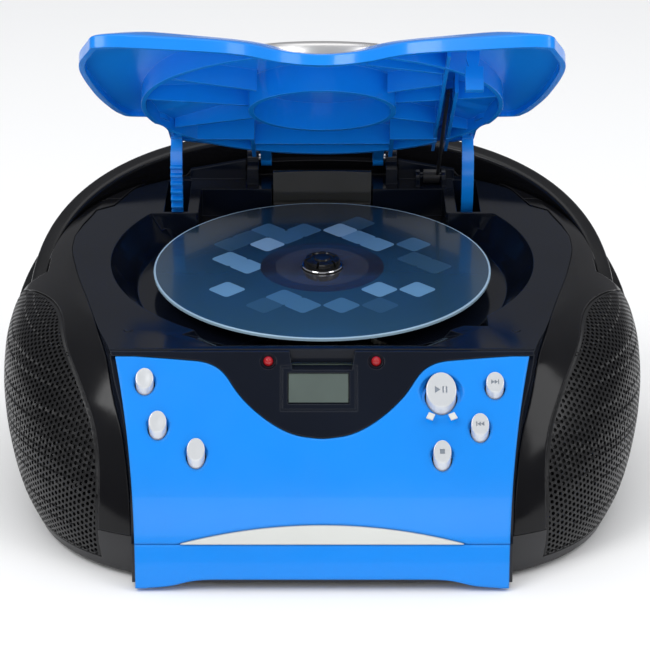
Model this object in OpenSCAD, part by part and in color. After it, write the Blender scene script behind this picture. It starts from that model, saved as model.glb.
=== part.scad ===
// Portable disc player in a carry-handle cabinet: two side speakers, a top-loading
// disc well under a swinging lid, and a sloping front with seven keys and a display.
// Frame: +X to the right, +Y to the back, +Z up. The origin is on the table, under the
// middle of the cabinet. The lid is drawn open and the handle folded back.

/* [Cabinet] */
// Half width of the cabinet at its widest height
half_w = 112; // [108:0.5:116]
// Height of the deck at the middle of the plan, before the deck's tilt
deck_h = 75.3; // [74.5:0.1:76]
// Wall of the moulded cabinet shells
wall = 2.2; // [1.8:0.1:2.6]
// Tilt of the deck towards the front, in degrees
deck_tilt = 6; // [6:0.5:6.5]
// Gap between neighbouring shells
gap = 0.25; // [0.2:0.05:0.4]

/* [Disc] */
// Outer diameter of the compact disc
disc_d = 120; // [119.7:0.1:120.3]
// Thickness of the compact disc
disc_t = 1.2; // [1.1:0.1:1.5]

/* [Lid] */
// Angle the lid stands open, in degrees
lid_open = 35.8; // [30:0.1:36]
// Thickness of the lid's skin
lid_skin = 2; // [1.6:0.1:2.4]

/* [Keys] */
// Diameter of the six small keys
key_d = 5.8; // [5.4:0.1:6]
// Diameter of the large play key
play_d = 9.8; // [9:0.1:10]
// Radial gap between a key and its hole
key_gap = 0.2; // [0.15:0.05:0.3]
// Lean of the keys' travel from upright, in degrees
key_lean = 18; // [16:1:20]

/* [Handle] */
// Tilt of the folded handle above the table, in degrees
handle_tilt = 22; // [21:0.5:23]
// Height of the handle's band
handle_band = 14; // [12:0.5:14]
// Thickness of the handle's band
handle_t = 6; // [5.5:0.5:6]

/* [Hidden] */
$fn = 48;

NP = 40;                       // points round each cabinet section
yc = 8;                        // plan centre of the cabinet's outline
stand = 2;                     // height of the cabinet's underside above the table
seam = 12.5;                   // height of the seam between the base and the upper shells
zs = [0, 10, 22, 34, 42, 52, 60, 66, 70, 73, deck_h];   // section heights
function sgn(v) = v < 0 ? -1 : 1;
// half width, back depth and front depth of the cabinet section at height z
function aw(z) = lookup(z, [[0,half_w-10.6],[10,half_w-5.5],[22,half_w-2.2],[34,half_w-0.4],[42,half_w],
   [52,half_w-0.7],[60,half_w-3],[66,half_w-6.5],[70,half_w-11],[73,half_w-16.5],[deck_h,half_w-23]]);
function bb(z) = lookup(z, [[0,91.4],[10,94.5],[22,96],[60,96],[66,95],[70,92.5],[73,89],[deck_h,84.5]]);
function prof(z) = -104 + 0.0363*pow(max(z,0), 1.63);          // front face line, y at height z
function bf(z) = yc - prof(z*0.9) - 1.5 - lookup(z, [[60,0],[70,1],[deck_h,4]]);
function kt(z) = tan(deck_tilt)*pow(z/deck_h, 2);        // share of the deck's tilt at height z
function sec(z, o) = [for (i = [0:NP-1]) let (t = 360*i/NP, c = cos(t), s = sin(t),
    x = (aw(z)-o)*sgn(c)*pow(abs(c), 2/3),
    y = yc + (s < 0 ? bf(z)-o : bb(z)-o)*sgn(s)*pow(abs(s), 2/3))
    [x, y, z + kt(z)*y]];
function ring_faces(n, m) = [for (j = [0:m-2], i = [0:n-1], k = [0:1]) let (i2 = (i+1)%n)
    k == 0 ? [j*n+i, (j+1)*n+i2, j*n+i2] : [j*n+i, (j+1)*n+i, (j+1)*n+i2]];
// solid of the whole cabinet; o moves the walls in, dz lowers the top and raises the bottom
module body(o = 0, dz = 0) {
  pts = [for (j = [0:len(zs)-1]) for (p = sec(zs[j], o))
     [p[0], p[1], p[2] + (j == 0 ? dz : 0) - (j == len(zs)-1 ? dz : 0) - (j == len(zs)-2 ? dz*0.6 : 0)]];
  m = len(zs);
  polyhedron(points = pts, faces = concat(ring_faces(NP, m), [[for (i = [0:NP-1]) i]],
     [[for (i = [NP-1:-1:0]) (m-1)*NP+i]]), convexity = 6);
}
// plan of the middle console between the two side shells
half_plan = [[61.2,-108],[61.9,-93.4],[63.3,-86],[65.3,-79.2],[68.1,-72.8],[71.2,-61.7],[74.2,-52.3],[80.2,-28.2],[86.3,-3],[90,19.3],[92.6,43],[88,52],[76,62],[66,80],[58,86]];
function mir(l) = concat(l, [for (i = [len(l)-1:-1:0]) [-l[i][0], l[i][1]]]);
module plan(o = 0) { offset(delta = o) polygon(mir(half_plan)); }
module console_prism(o = 0) translate([0,0,-5]) linear_extrude(120) polygon(mir([for (p = half_plan) [p[0]+o, p[1] + (p[1] > 60 ? o : 0)]]));
// front face band between depths d0 and d1 behind the face, from height z0 to z1
function band(d0, d1, z0, z1, n = 12) = concat(
   [for (i = [0:n]) let (z = z0+(z1-z0)*i/n) [prof(z)+d0*1.16, z]],
   [for (i = [n:-1:0]) let (z = z0+(z1-z0)*i/n) [prof(z)+d1*1.16, z]]);
module front_band(d0, d1, z0, z1, w, n = 12)
  rotate([90,0,90]) translate([0,0,-w]) linear_extrude(2*w) polygon(band(d0, d1, z0, z1, n));
// trapezoid seen from the front that bounds the blue panel; o shrinks it
function pw(z) = 60.2 + 7.3*pow(max(z,0)/66, 2.4);       // half width of the blue panel at height z
module front_trap(z0, z1, o = 0, n = 8)
  rotate([90,0,0]) translate([0,0,55]) linear_extrude(60)
    polygon(concat([for (i = [0:n]) let (z = z0+(z1-z0)*i/n) [pw(z)-o, z]], [for (i = [n:-1:0]) let (z = z0+(z1-z0)*i/n) [o-pw(z), z]]));
// bowl-shaped display island seen from the front; o grows it
isl = [[-66.4,75],[-66,66.8],[-51.3,66],[-39.6,65.2],[-36.3,64.5],[-33.2,63.1],[-30.8,61],[-27.4,56.6],[-22.9,52.6],[-16.2,48.1],[-8.9,45],[-1,44.2]];
module island(o = 0) rotate([90,0,0]) translate([0,0,50]) linear_extrude(60)
    polygon(concat([for (p = isl) [p[0]-o, p[1]-o]], [for (i = [len(isl)-1:-1:0]) [-isl[i][0]+o, isl[i][1]-o]]));
module disc_poly(r, n = 90) polygon([for (i = [0:n-1]) [r*cos(360*(i+0.37)/n), r*sin(360*(i+0.37)/n)]]);
// leaf-shaped grille opening seen from the side; o grows it
module leaf(o = 0, x0 = 60, x1 = 125) rotate([90,0,90]) translate([0,0,x0]) linear_extrude(x1-x0)
  intersection() {
    translate([-23.7,6.5]) disc_poly(64+o);
    translate([-62,50]) disc_poly(72+o);
    translate([-120,3-o]) square([160,80]);
  }
module opening(o = 0) difference() { leaf(o); console_prism(5-o); }
// deck frame: origin at the disc's centre, +Z along the spindle
module dframe() translate([0,9,72]) rotate([deck_tilt,0,0]) children();
hy = 82; hz = 10;              // lid hinge axis in the deck frame
arm_x = 54.4;                  // guide arms' distance from the middle
ga = 28;                       // damper gear's angle below the hinge
sp_y = 70; sp_z = 7;           // lid spring's axis in the deck frame
module lframe() dframe() translate([0,hy,hz]) rotate([-lid_open,0,0]) translate([0,-hy,-hz]) children();
// handle frame: origin on the swing axis, +Y along the folded arms, +Z across the band
hp_y = 10; hp_z = 56.5; ha = 104.8;
module hframe() translate([0,hp_y,hp_z]) rotate([handle_tilt,0,0]) children();
function hout(o, n = 40) = [for (i = [0:n]) let (t = 180*i/n, c = cos(t), s = sin(t))
    [(ha-o)*sgn(c)*pow(abs(c), 1/1.2), ((92-o)/cos(handle_tilt))*pow(max(s,0), 1/1.2)]];
module hband(o0, o1, w) hframe() translate([0,0,-w]) linear_extrude(2*w)
   difference() { polygon(hout(o0)); polygon(concat([for (p = hout(o1)) p])); }
// rebate that takes the folded handle; g grows it into walls
module rebate(g = 0) {
  hframe() difference() {
    translate([-150,0,-handle_band/2-0.6-g]) cube([300,150,60]);
    translate([0,0,-40]) linear_extrude(120) polygon(concat([for (p = hout(handle_t+0.8+g)) p], [[-(ha-handle_t-0.8-g),-1],[ha-handle_t-0.8-g,-1]]));
  }
  for (s = [-1,1]) translate([s > 0 ? ha-7.8-g : -130,hp_y,hp_z]) {
    rotate([0,90,0]) cylinder(r = 8.4+g, h = 137.8-ha+g);
    translate([0,-8.4-g,0]) cube([137.8-ha+g,12+g,40]);
  }
}
// key axis
module kframe(x, y, z) translate([x,y,z]) rotate([key_lean,0,0]) children();
keys = [[-57.7,59.2],[-53.2,47.3],[-40.7,39.5],[38.6,56],[56.1,58.1],[51,46.6],[38.7,38.9]];
function kd(i) = i == 3 ? play_d : key_d;

module floor_frame() translate([0,0,-stand]) children();
module lower_cabinet() color([0.10,0.10,0.11]) {
  difference() {
    intersection() { difference() { body(0, 0); body(wall, 2.4); }
      translate([-150,-150,-5]) cube([300,300,seam+5]); }
    opening(0.1); mirror([1,0,0]) opening(0.1);
    // room for the front panel, the lower trim and their backing
    intersection() { front_band(-6, 2.4, -2, 20, 80); translate([-61.6,-120,-3]) cube([123.2,60,24]); }
    // battery door opening, foot recesses, screw holes and vents
    floor_frame() {
      translate([-50,4,-1]) cube([100,72,8]);
      translate([-51.9,5.5,3.1]) rotate([0,90,0]) cylinder(r = 0.78, h = 103.8);
      for (p = foot_p) translate([p[0],p[1],1]) cylinder(r = 6.2, h = 2.2);
      for (p = screw_p) translate([p[0],p[1],-1]) cylinder(r = 1.7, h = 9);
      for (p = screw_p) translate([p[0],p[1],1]) cylinder(r = 3.3, h = 2.6);
      for (i = [-3:3]) translate([i*9-1.2,-50,0]) cube([2.4,30,8]);
    }
  }
  // plinth behind the lower trim
  intersection() {
    console_prism(-0.01);
    union() {
      front_band(2.6, 5, 0.01, seam-0.1, 80, 6);
      intersection() { front_band(2.6, 16, 0, seam-0.1, 80, 6); translate([-90,-120,0]) cube([180,60,2.4]); }
      intersection() { front_band(2.6, 14, 0.01, seam-0.1, 80, 6); difference() { console_prism(0); console_prism(-2); } }
    }
  }
  // battery bay
  floor_frame() difference() {
    translate([-54,-1,4.2]) cube([108,82,30]);
    translate([-52,1,0]) cube([104,78,32.2]);
  }
  floor_frame() for (p = screw_p) difference() {
    translate([p[0],p[1],4.0]) cylinder(r = 4, h = 7.8);
    translate([p[0],p[1],3]) cylinder(r = 1.7, h = 9);
  }
  // posts of the main board and the transformer
  for (x = [-50,50]) difference() { translate([x,-12,2]) cylinder(r = 3.2, h = 11); translate([x,-12,4]) cylinder(r = 1.2, h = 12); }
  for (x = [-52,52]) translate([x-2,-55,2]) cube([4,6,11]);
  for (p = [[-87,22],[-65,22],[-87,48],[-65,48]]) translate([p[0],p[1],2]) cube([4,4,11]);
}
foot_p = [[-70,-62],[70,-62],[-70,72],[70,72]];
screw_p = [[-78,-40],[78,-40],[-78,48],[78,48],[0,-70]];

// one side shell on +X, from the console line out and round to the rear cover
module side_shell() {
 // baffle behind the grille that carries the woofer
 difference() {
  intersection() { sframe() difference() { translate([0,0,-2.1]) cylinder(r = 38, h = 2); translate([0,0,-3]) cylinder(r = 25.3, h = 4); }
     body(1.9, 1.9); translate([0,-150,seam+gap]) cube([150,300,100]); }
  console_prism(gap);
 }
 difference() {
  intersection() {
    union() {
      difference() { body(0); body(wall, wall); }
      intersection() { body(0.01); rebate(2); }
    }
    translate([40,-150,seam+gap]) cube([120,150+62,100]);
  }
  console_prism(gap);
  opening(0.1);
  rebate(0);
  translate([80,hp_y,hp_z]) rotate([0,90,0]) cylinder(r = 3, h = 30);
 }
}
module side_shell_right() color([0.02,0.02,0.025]) side_shell();
module side_shell_left() color([0.02,0.02,0.025]) mirror([1,0,0]) side_shell();

module rear_cover() color([0.03,0.03,0.035]) {
 // post of the volume wheel
 translate([27,95,22.6]) cylinder(r = 1.5, h = 7);
 translate([24,93,22.6]) cube([6,9.4,2.2]);
 difference() {
  intersection() {
    union() {
      difference() { body(0); body(wall, wall); }
      intersection() { body(0.01); rebate(2); }
    }
    translate([-150,62+gap,seam+gap]) cube([300,80,100]);
  }
  console_prism(gap);
  rebate(0);
  translate([-62,88,26]) cube([24.4,30,14.4]);             // mains inlet
  translate([52,80,32]) rotate([-90,0,0]) cylinder(r = 4.2, h = 30);   // auxiliary jack
  translate([16,90,25.5]) cube([22,30,3.2]);                // volume wheel slot
  translate([-20,90,30]) cube([14,30,5]);                   // function switch slot
  for (i = [0:8]) translate([-16+i*4,90,48]) cube([1.6,30,14]);   // vents
 }
}

module deck_housing() color([0.02,0.025,0.05]) {
  difference() {
    union() {
      // deck plate
      dframe() translate([0,-9,0]) difference() {
        translate([0,0,1.6]) linear_extrude(2.4) intersection() { polygon(mir(half_plan)); translate([-100,-67.2]) square([200,170]); }
      }
      // well wall and floor
      dframe() difference() {
        translate([0,0,-9]) linear_extrude(12) well2d(2);
        translate([0,0,-7]) linear_extrude(20) well2d(0);
      }
      // arm pockets on both sides of the well's back
      dframe() for (s = [-1,1]) translate([s*arm_x-6.6,40.4,-11]) cube([13.2,33.8,14.6]);
      // lugs of the lid spring
      dframe() for (x = [35.6,45.4]) translate([x,66.5,1]) hull() { cube([1.6,7,4]); translate([0,3.5,6]) rotate([0,90,0]) cylinder(r = 2.6, h = 1.6, $fn = 32); }
      // sloping console behind the blue panel
      intersection() { front_band(2.2, 4.2, seam+0.15, 67.4, 80); console_prism(-0.01); }
      // display island, flush with the panel
      intersection() { front_band(0, 3, 43.8, 67.6, 66); island(0); console_prism(-0.6); }
      // closing strip from the island to the deck plate
      intersection() { union() { front_band(2.2, 7, 63.5, 67.4, 90, 4); front_band(0.1, 7, 66.5, 67.7, 90, 4); } console_prism(-0.01); translate([-100,-110,60]) cube([200,46,9]); }
      // side cheeks of the console
      intersection() { front_band(2.2, 16, seam+0.15, 67.4, 80); difference() { console_prism(-0.01); console_prism(-2); } }
      // posts of the control board
      intersection() { krot() for (x = [-30,30]) translate([x,-60,kq]) cylinder(r = 2.8, h = 40); front_band(3, 60, 20, 67, 60); }
      // hinge posts
      dframe() for (s = [-1,1]) translate([s*26.5-2.2,76,1]) { translate([0,-7,0]) cube([4.4,8.2,9]); translate([0,-7,4.8]) cube([4.4,13,4.2]); translate([0,6,9]) rotate([0,90,0]) cylinder(r = 4.4, h = 4.4); }
      // mechanism bosses
      dframe() for (p = bush_p) translate([p[0],p[1],-19]) cylinder(r = 2.4, h = 10.5);
    }
    dframe() translate([0,0,-7]) linear_extrude(20) well2d(0);
    // openings through the well floor
    dframe() translate([0,0,-12]) cylinder(r = 17, h = 8);
    dframe() translate([-11,-61,-12]) cube([22,55,8]);
    // hinge pin bores
    dframe() translate([-40,hy,hz]) rotate([0,90,0]) cylinder(r = 1.52, h = 80);
    // arm slots
    dframe() for (s = [-1,1]) translate([s*arm_x-4.4,41.4,-13]) cube([8.8,31.9,20]);
    // latch slot at the right front of the well's rim
    dframe() translate([44.5,-58.5,-4]) cube([11,10,12]);
    dframe() translate([44.5,-68,-4.2]) cube([11,20,4]);
    // finger recess, lamp holes, display opening
    translate([-11,-76,62.8]) rotate([0,0,0]) cube([22,8.5,8]);
    for (s = [-1,1]) translate([s*17.6,-66,62.3]) rotate([60,0,0]) cylinder(r = 1.75, h = 20);
    intersection() { front_band(-1, 6, 53.6, 62, 11.4); translate([-11.2,-120,40]) cube([20,60,40]); }
    // key holes
    for (i = [0:6]) kframe(keys[i][0], prof(keys[i][1]), keys[i][1]) translate([0,0,-12]) cylinder(r = kd(i)/2+0.6, h = 24);
    // clear the cabinet shells above the handle's rebate
    rebate(2.2);
    // mechanism screw pilot holes
    dframe() for (p = bush_p) translate([p[0],p[1],-20]) cylinder(r = 0.9, h = 8);
  }
  damper_axle();
  spring_axle();
}
module damper_axle() dframe() translate([-arm_x-6,hy-38*cos(ga),hz-38*sin(ga)]) rotate([0,90,0]) cylinder(r = 1.5, h = 12);
module spring_axle() dframe() translate([36,sp_y,sp_z]) rotate([0,90,0]) cylinder(r = 1.5, h = 10.6);
bush_p = [[-40,-34],[40,-34],[-40,30],[40,30]];
module well2d(o = 0) union() {
  intersection() { circle(75+o, $fn = 96); translate([-90,-65-o]) square([180,105+2*o]); }
  translate([-46-o,20]) square([92+2*o, 44+o]);
}

module front_panel() color([0.05,0.42,0.95]) difference() {
  intersection() { front_band(0, 2, 13.6, 66.3, 80, 14); front_trap(13.6, 66.3); }
  island(gap);
  crescent2d(0.15);
  for (i = [0:6]) kframe(keys[i][0], prof(keys[i][1]), keys[i][1]) translate([0,0,-15]) cylinder(r = kd(i)/2+key_gap, h = 30);
  // dish round the play key
  kframe(keys[3][0], prof(keys[3][1]), keys[3][1]) rotate([34.8,0,0]) rotate_extrude() polygon([[0,-1],[6.4,-1],[7.6,0.1],[7.6,4],[0,4]]);
}
module crescent2d(o = 0) rotate([90,0,0]) translate([0,0,60]) linear_extrude(60) intersection() {
  translate([0,19.3-190+o]) circle(190, $fn = 200);
  translate([-60,13.75-o]) square([120,30]);
}
module crescent_trim() color([0.85,0.86,0.84]) intersection() {
  front_band(-0.5, 1.8, 13.65, 21, 48, 6); crescent2d(0);
}
module lower_trim() color([0.05,0.42,0.95]) difference() {
  intersection() { front_band(0, 2, -0.8, 13.35, 80, 6); front_trap(-0.8, 13.35); }
  // shallow arch along the lower edge
  rotate([90,0,0]) translate([0,0,60]) linear_extrude(60) polygon(mir([[54,-3],[50,-0.4],[46,0.7],[42,1.6],[37,2.2]]));
}

module grille() difference() {
  intersection() { difference() { body(0); body(1.6, 1.6); } opening(-gap); }
  rebate(0);
}
module speaker_grille_right() color([0.03,0.03,0.03]) grille();
module speaker_grille_left() color([0.03,0.03,0.03]) mirror([1,0,0]) grille();

// speaker frame of reference: +Z points out through the grille
module sframe() translate([86,-43,36]) rotate([0,0,-30]) rotate([0,90,0]) children();
module wframe() difference() {
  sframe() rotate_extrude() polygon([[24,0],[28,0],[28,1.6],[25.4,1.6],[25.4,0.9],[24,0.9],[24,-1],[15,-14],[9,-14],[9,-15.2],[15.9,-15.2],[24.9,-2.2],[24.9,0]]);
}
module wcone() sframe() rotate_extrude() polygon([[0,-8],[6,-9.6],[8,-12],[8,-15],[8.6,-15],[8.7,-11.6],[20.4,-1.2],[21.5,0.1],[22.6,0.7],[23.6,-0.2],[23.6,0.4],[22.6,1.3],[21,0.6],[19.8,-0.6],[8.6,-10.4],[6,-9],[0,-7.4]]);
module wmag() sframe() difference() {
  translate([0,0,-26]) cylinder(r = 16, h = 10.6);
  translate([0,0,-22.5]) difference() { cylinder(r = 9.2, h = 10); translate([0,0,-1]) cylinder(r = 7.4, h = 12); }
}
module woofer_frame_right() color([0.35,0.36,0.38]) wframe();
module woofer_frame_left() color([0.35,0.36,0.38]) mirror([1,0,0]) wframe();
module woofer_cone_right() color([0.12,0.12,0.12]) wcone();
module woofer_cone_left() color([0.12,0.12,0.12]) mirror([1,0,0]) wcone();
module woofer_magnet_right() color([0.25,0.25,0.27]) wmag();
module woofer_magnet_left() color([0.25,0.25,0.27]) mirror([1,0,0]) wmag();

module lcd_window() color([0.35,0.42,0.36]) intersection() {
  front_band(0.4, 1.6, 53.9, 61.7, 11); translate([-10.9,-120,40]) cube([19.4,60,40]);
}
module lcd_module() color([0.15,0.3,0.2]) intersection() {
  front_band(4.6, 7, 52, 62.6, 15); translate([-14,-120,40]) cube([25.4,60,40]);
}
module indicator_leds() color([0.8,0.05,0.05]) for (s = [-1,1])
  translate([s*17.6,-66,62.3]) rotate([60,0,0]) { translate([0,0,1]) cylinder(r = 1.6, h = 4.4); translate([0,0,5.4]) sphere(r = 1.6, $fn = 24); }

// control board, square to the keys' travel
kq = 50;                                       // board's height along the keys' travel
function kpos(i) = let (y = prof(keys[i][1]), z = keys[i][1]) [keys[i][0], y*cos(key_lean)+z*sin(key_lean), -y*sin(key_lean)+z*cos(key_lean)];
module krot() rotate([key_lean,0,0]) children();
module control_board() color([0.45,0.33,0.12]) krot() difference() {
  translate([-60.7,-77.2,kq-1.6]) cube([121.4,28.2,1.6]);
  for (s = [-1,1]) translate([s*30,-60,kq-3]) cylinder(r = 1.6, h = 5);
}
module tact_switches() color([0.1,0.1,0.1]) krot() for (i = [0:6]) let (p = kpos(i))
  translate([p[0],p[1],kq]) { translate([-3,-3,0]) cube([6,6,3.4]); cylinder(r = 1.7, h = 4.2); }
// a key: a slim plunger to its switch, a round stem and a cap cut to the panel's slope
module key(i) krot() let (p = kpos(i), r = kd(i)/2) {
  difference() {
    union() {
      translate([p[0],p[1],kq+5.2]) cylinder(r = 1.6, h = p[2]-kq-5.2);
      translate([p[0],p[1],p[2]-5]) cylinder(r = r, h = 18);
    }
    // cap face, parallel to the panel and proud of it
    translate([p[0],p[1],p[2]]) rotate([lookup(keys[i][1],[[40,40],[60,33]]),0,0]) translate([-20,-20,2]) cube([40,40,30]);
  }
}
module key_bass() color([0.86,0.88,0.9]) key(0);
module key_repeat() color([0.86,0.88,0.9]) key(1);
module key_program() color([0.86,0.88,0.9]) key(2);
module key_play() color([0.86,0.88,0.9]) key(3);
module key_next() color([0.86,0.88,0.9]) key(4);
module key_back() color([0.86,0.88,0.9]) key(5);
module key_stop() color([0.86,0.88,0.9]) key(6);

module main_board() color([0.1,0.35,0.16]) {
  difference() { translate([-58,-56,13]) cube([116,50,1.6]); for (s=[-1,1]) translate([s*50,-12,12]) cylinder(r = 1.6, h = 4); }
  translate([-20,-30,14.6]) cube([16,12,3]);
  translate([14,-44,14.6]) cube([10,10,2.4]);
  for (x = [-40,-30,34,44]) translate([x,-22,14.6]) cylinder(r = 4, h = 12);
  translate([-50,-50,14.6]) cube([30,3,16]);
}
module power_transformer() color([0.45,0.42,0.4]) {
  translate([-90,20,13]) cube([30,34,30]);
  translate([-86,16.5,17]) cube([22,3.5,22]);
  translate([-86,54,17]) cube([22,3.5,22]);
}
module mains_inlet() color([0.05,0.05,0.05]) difference() {
  translate([-61.6,83,26.4]) cube([23.6,14.6,13.6]);
  translate([-58,85,29.2]) cube([16.4,20,8]);
}
module aux_jack() color([0.05,0.05,0.05]) difference() {
  union() { translate([46,84,26]) cube([12,11,12]); translate([52,94,32]) rotate([-90,0,0]) cylinder(r = 3.9, h = 6.8); }
  translate([52,86,32]) rotate([-90,0,0]) cylinder(r = 1.8, h = 20);
}
module battery_door() color([0.1,0.1,0.11]) {
  rotate([90,0,90]) translate([0,0,-49.7]) linear_extrude(99.4) union() {
    polygon([[5.5,2],[75.7,2],[75.7,4.2],[5.5,4.2]]); translate([5.5,3.1]) circle(1.1); }
  // hinge pins
  for (s = [-1,1]) translate([s > 0 ? 49 : -51.6,5.5,3.1]) rotate([0,90,0]) cylinder(r = 0.7, h = 2.6);
  for (i = [0:5]) translate([-10,60+i*2.4,1.4]) cube([20,1,0.6]);
}
module battery_contacts() color([0.75,0.76,0.78]) {
  for (i = [0:2]) {
    translate([-51.9,6+i*26,9]) cube([0.5,16,18]);
    translate([51.4,6+i*26,9]) cube([0.5,16,18]);
    for (k = [0:1]) translate([-51.4+k*1.1,14+i*26,18]) rotate([0,90,0]) difference() { cylinder(r = 5-k*0.7, h = 1.1); translate([0,0,-0.5]) cylinder(r = 4-k*0.7, h = 2); }
  }
}

module mech_chassis() color([0.08,0.08,0.08]) dframe() difference() {
  union() {
    translate([-48,-66,-20.6]) cube([96,106,1.6]);
    // rod saddles
    for (s = [-1,1], y = [-66,3]) translate([s*12.5-(s > 0 ? 2.5 : 1.9),y,-19.2]) cube([4.4,3,4.6]);
  }
  translate([0,0,-30]) cylinder(r = 12, h = 20);
  translate([-15.6,-62.8,-30]) cube([31.2,65.6,13]);
  for (s = [-1,1]) translate([s*12.5,-64,-16.6]) rotate([-90,0,0]) cylinder(r = 1.5, h = 69);
  for (p = bush_p) translate([p[0],p[1],-30]) cylinder(r = 3.2, h = 20);
  translate([fg_x,fg_y,-30]) cylinder(r = 1.6, h = 20);
}
module damper_bushes() color([0.1,0.1,0.1]) dframe() for (p = bush_p) translate([p[0],p[1],0]) difference() {
  union() { translate([0,0,-23.4]) cylinder(r = 3.1, h = 4.2); translate([0,0,-23.6]) cylinder(r = 4.6, h = 2.8); }
  translate([0,0,-30]) cylinder(r = 1.4, h = 20);
}
module spindle_motor() color([0.7,0.7,0.72]) dframe() difference() {
  translate([0,0,-26]) cylinder(r = 10.6, h = 13);
  translate([0,0,-28]) cylinder(r = 1.05, h = 20);
}
module turntable_hub() color([0.05,0.05,0.05]) dframe() rotate_extrude() polygon(
  [[0,-24],[1,-24],[1,-9],[6,-9],[6,-4],[14.5,-3.4],[14.5,-disc_t-0.02],[7.35,-disc_t-0.02],[7.35,1],[6.6,2.6],[4.4,3.6],[0,3.8]]);
module guide_rods() color([0.75,0.76,0.78]) dframe() for (s = [-1,1]) translate([s*12.5,-64,-16.6]) rotate([-90,0,0]) cylinder(r = 1.5, h = 69);
module laser_pickup() color([0.12,0.12,0.13]) dframe() difference() {
  union() {
    translate([-15.2,-46,-18.6]) cube([30.4,16,5.2]);
    translate([0,-38,-13.4]) cylinder(r = 5.4, h = 2.6);
    // rack beside the feed gear
    translate([14.7,-46,-18.6]) cube([1.1,42,3]);
    for (k = [0:15]) translate([15.8,-43.372+k*2.5133-0.63+0.0,-18.6]) linear_extrude(3) polygon([[-0.2,-0.42],[-0.2,1.68],[0.0,1.55],[1.25,0.93],[1.25,0.33],[0.0,-0.29]]);
  }
  for (s = [-1,1]) translate([s*12.5,-60,-16.6]) rotate([-90,0,0]) cylinder(r = 1.56, h = 80);
  translate([0,-38,-14]) cylinder(r = 2.6, h = 10);
}
module sled_motor() color([0.7,0.7,0.72]) dframe() difference() {
  translate([fg_x,fg_y,-32.4]) cylinder(r = 5.6, h = 11.6);
  translate([fg_x,fg_y,-31]) cylinder(r = 1.05, h = 20);
}
// spur gear outline: module m, n teeth, with backlash b
module gear2d(m, n, b = 0.3) { r = m*n/2; union() { circle(r-1.15*m, $fn = 64);
  for (k = [0:n-1]) rotate(k*360/n) let (t = (PI*m/2-b)/2) polygon([[r-1.35*m, -t-0.42*m],[r-0.55*m,-t-0.16*m],[r,-t],[r+0.8*m,-t+0.32*m],[r+0.8*m,t-0.32*m],[r,t],[r-0.55*m,t+0.16*m],[r-1.35*m,t+0.42*m]]); } }
// feed gear, 16 teeth of module 0.8, in mesh with the pickup's rack
fg_x = 16.6 + 6.4; fg_y = -22;
module feed_gear() color([0.9,0.9,0.86]) dframe() {
  translate([fg_x,fg_y,-18.4]) rotate(180) linear_extrude(2.6) gear2d(0.8, 16, 0.34);
  translate([fg_x,fg_y,-15.8]) cylinder(r = 3, h = 1.2);
  translate([fg_x,fg_y,-30]) cylinder(r = 1, h = 13);
}
module compact_disc() color([0.05,0.15,0.3]) dframe() difference() {
  translate([0,0,-disc_t]) cylinder(r = disc_d/2, h = disc_t, $fn = 128);
  translate([0,0,-disc_t-1]) cylinder(r = 7.5, h = disc_t+2);
}

half_lid = [[0,-54],[9,-55],[16,-60],[25,-67],[36,-72],[52,-76.5],[64,-79],[70.5,-79],[76.5,-75],[80,-66],[82,-50],[82.5,-30],[81.5,-10],[78,10],[71,26],[61.5,28],[60,42],[58.4,58],[50.5,60.5],[40,66],[27,73.5],[14,77]];
full_lid = concat(half_lid, [for (i = [len(half_lid)-1:-1:1]) [-half_lid[i][0], half_lid[i][1]]]);
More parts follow.
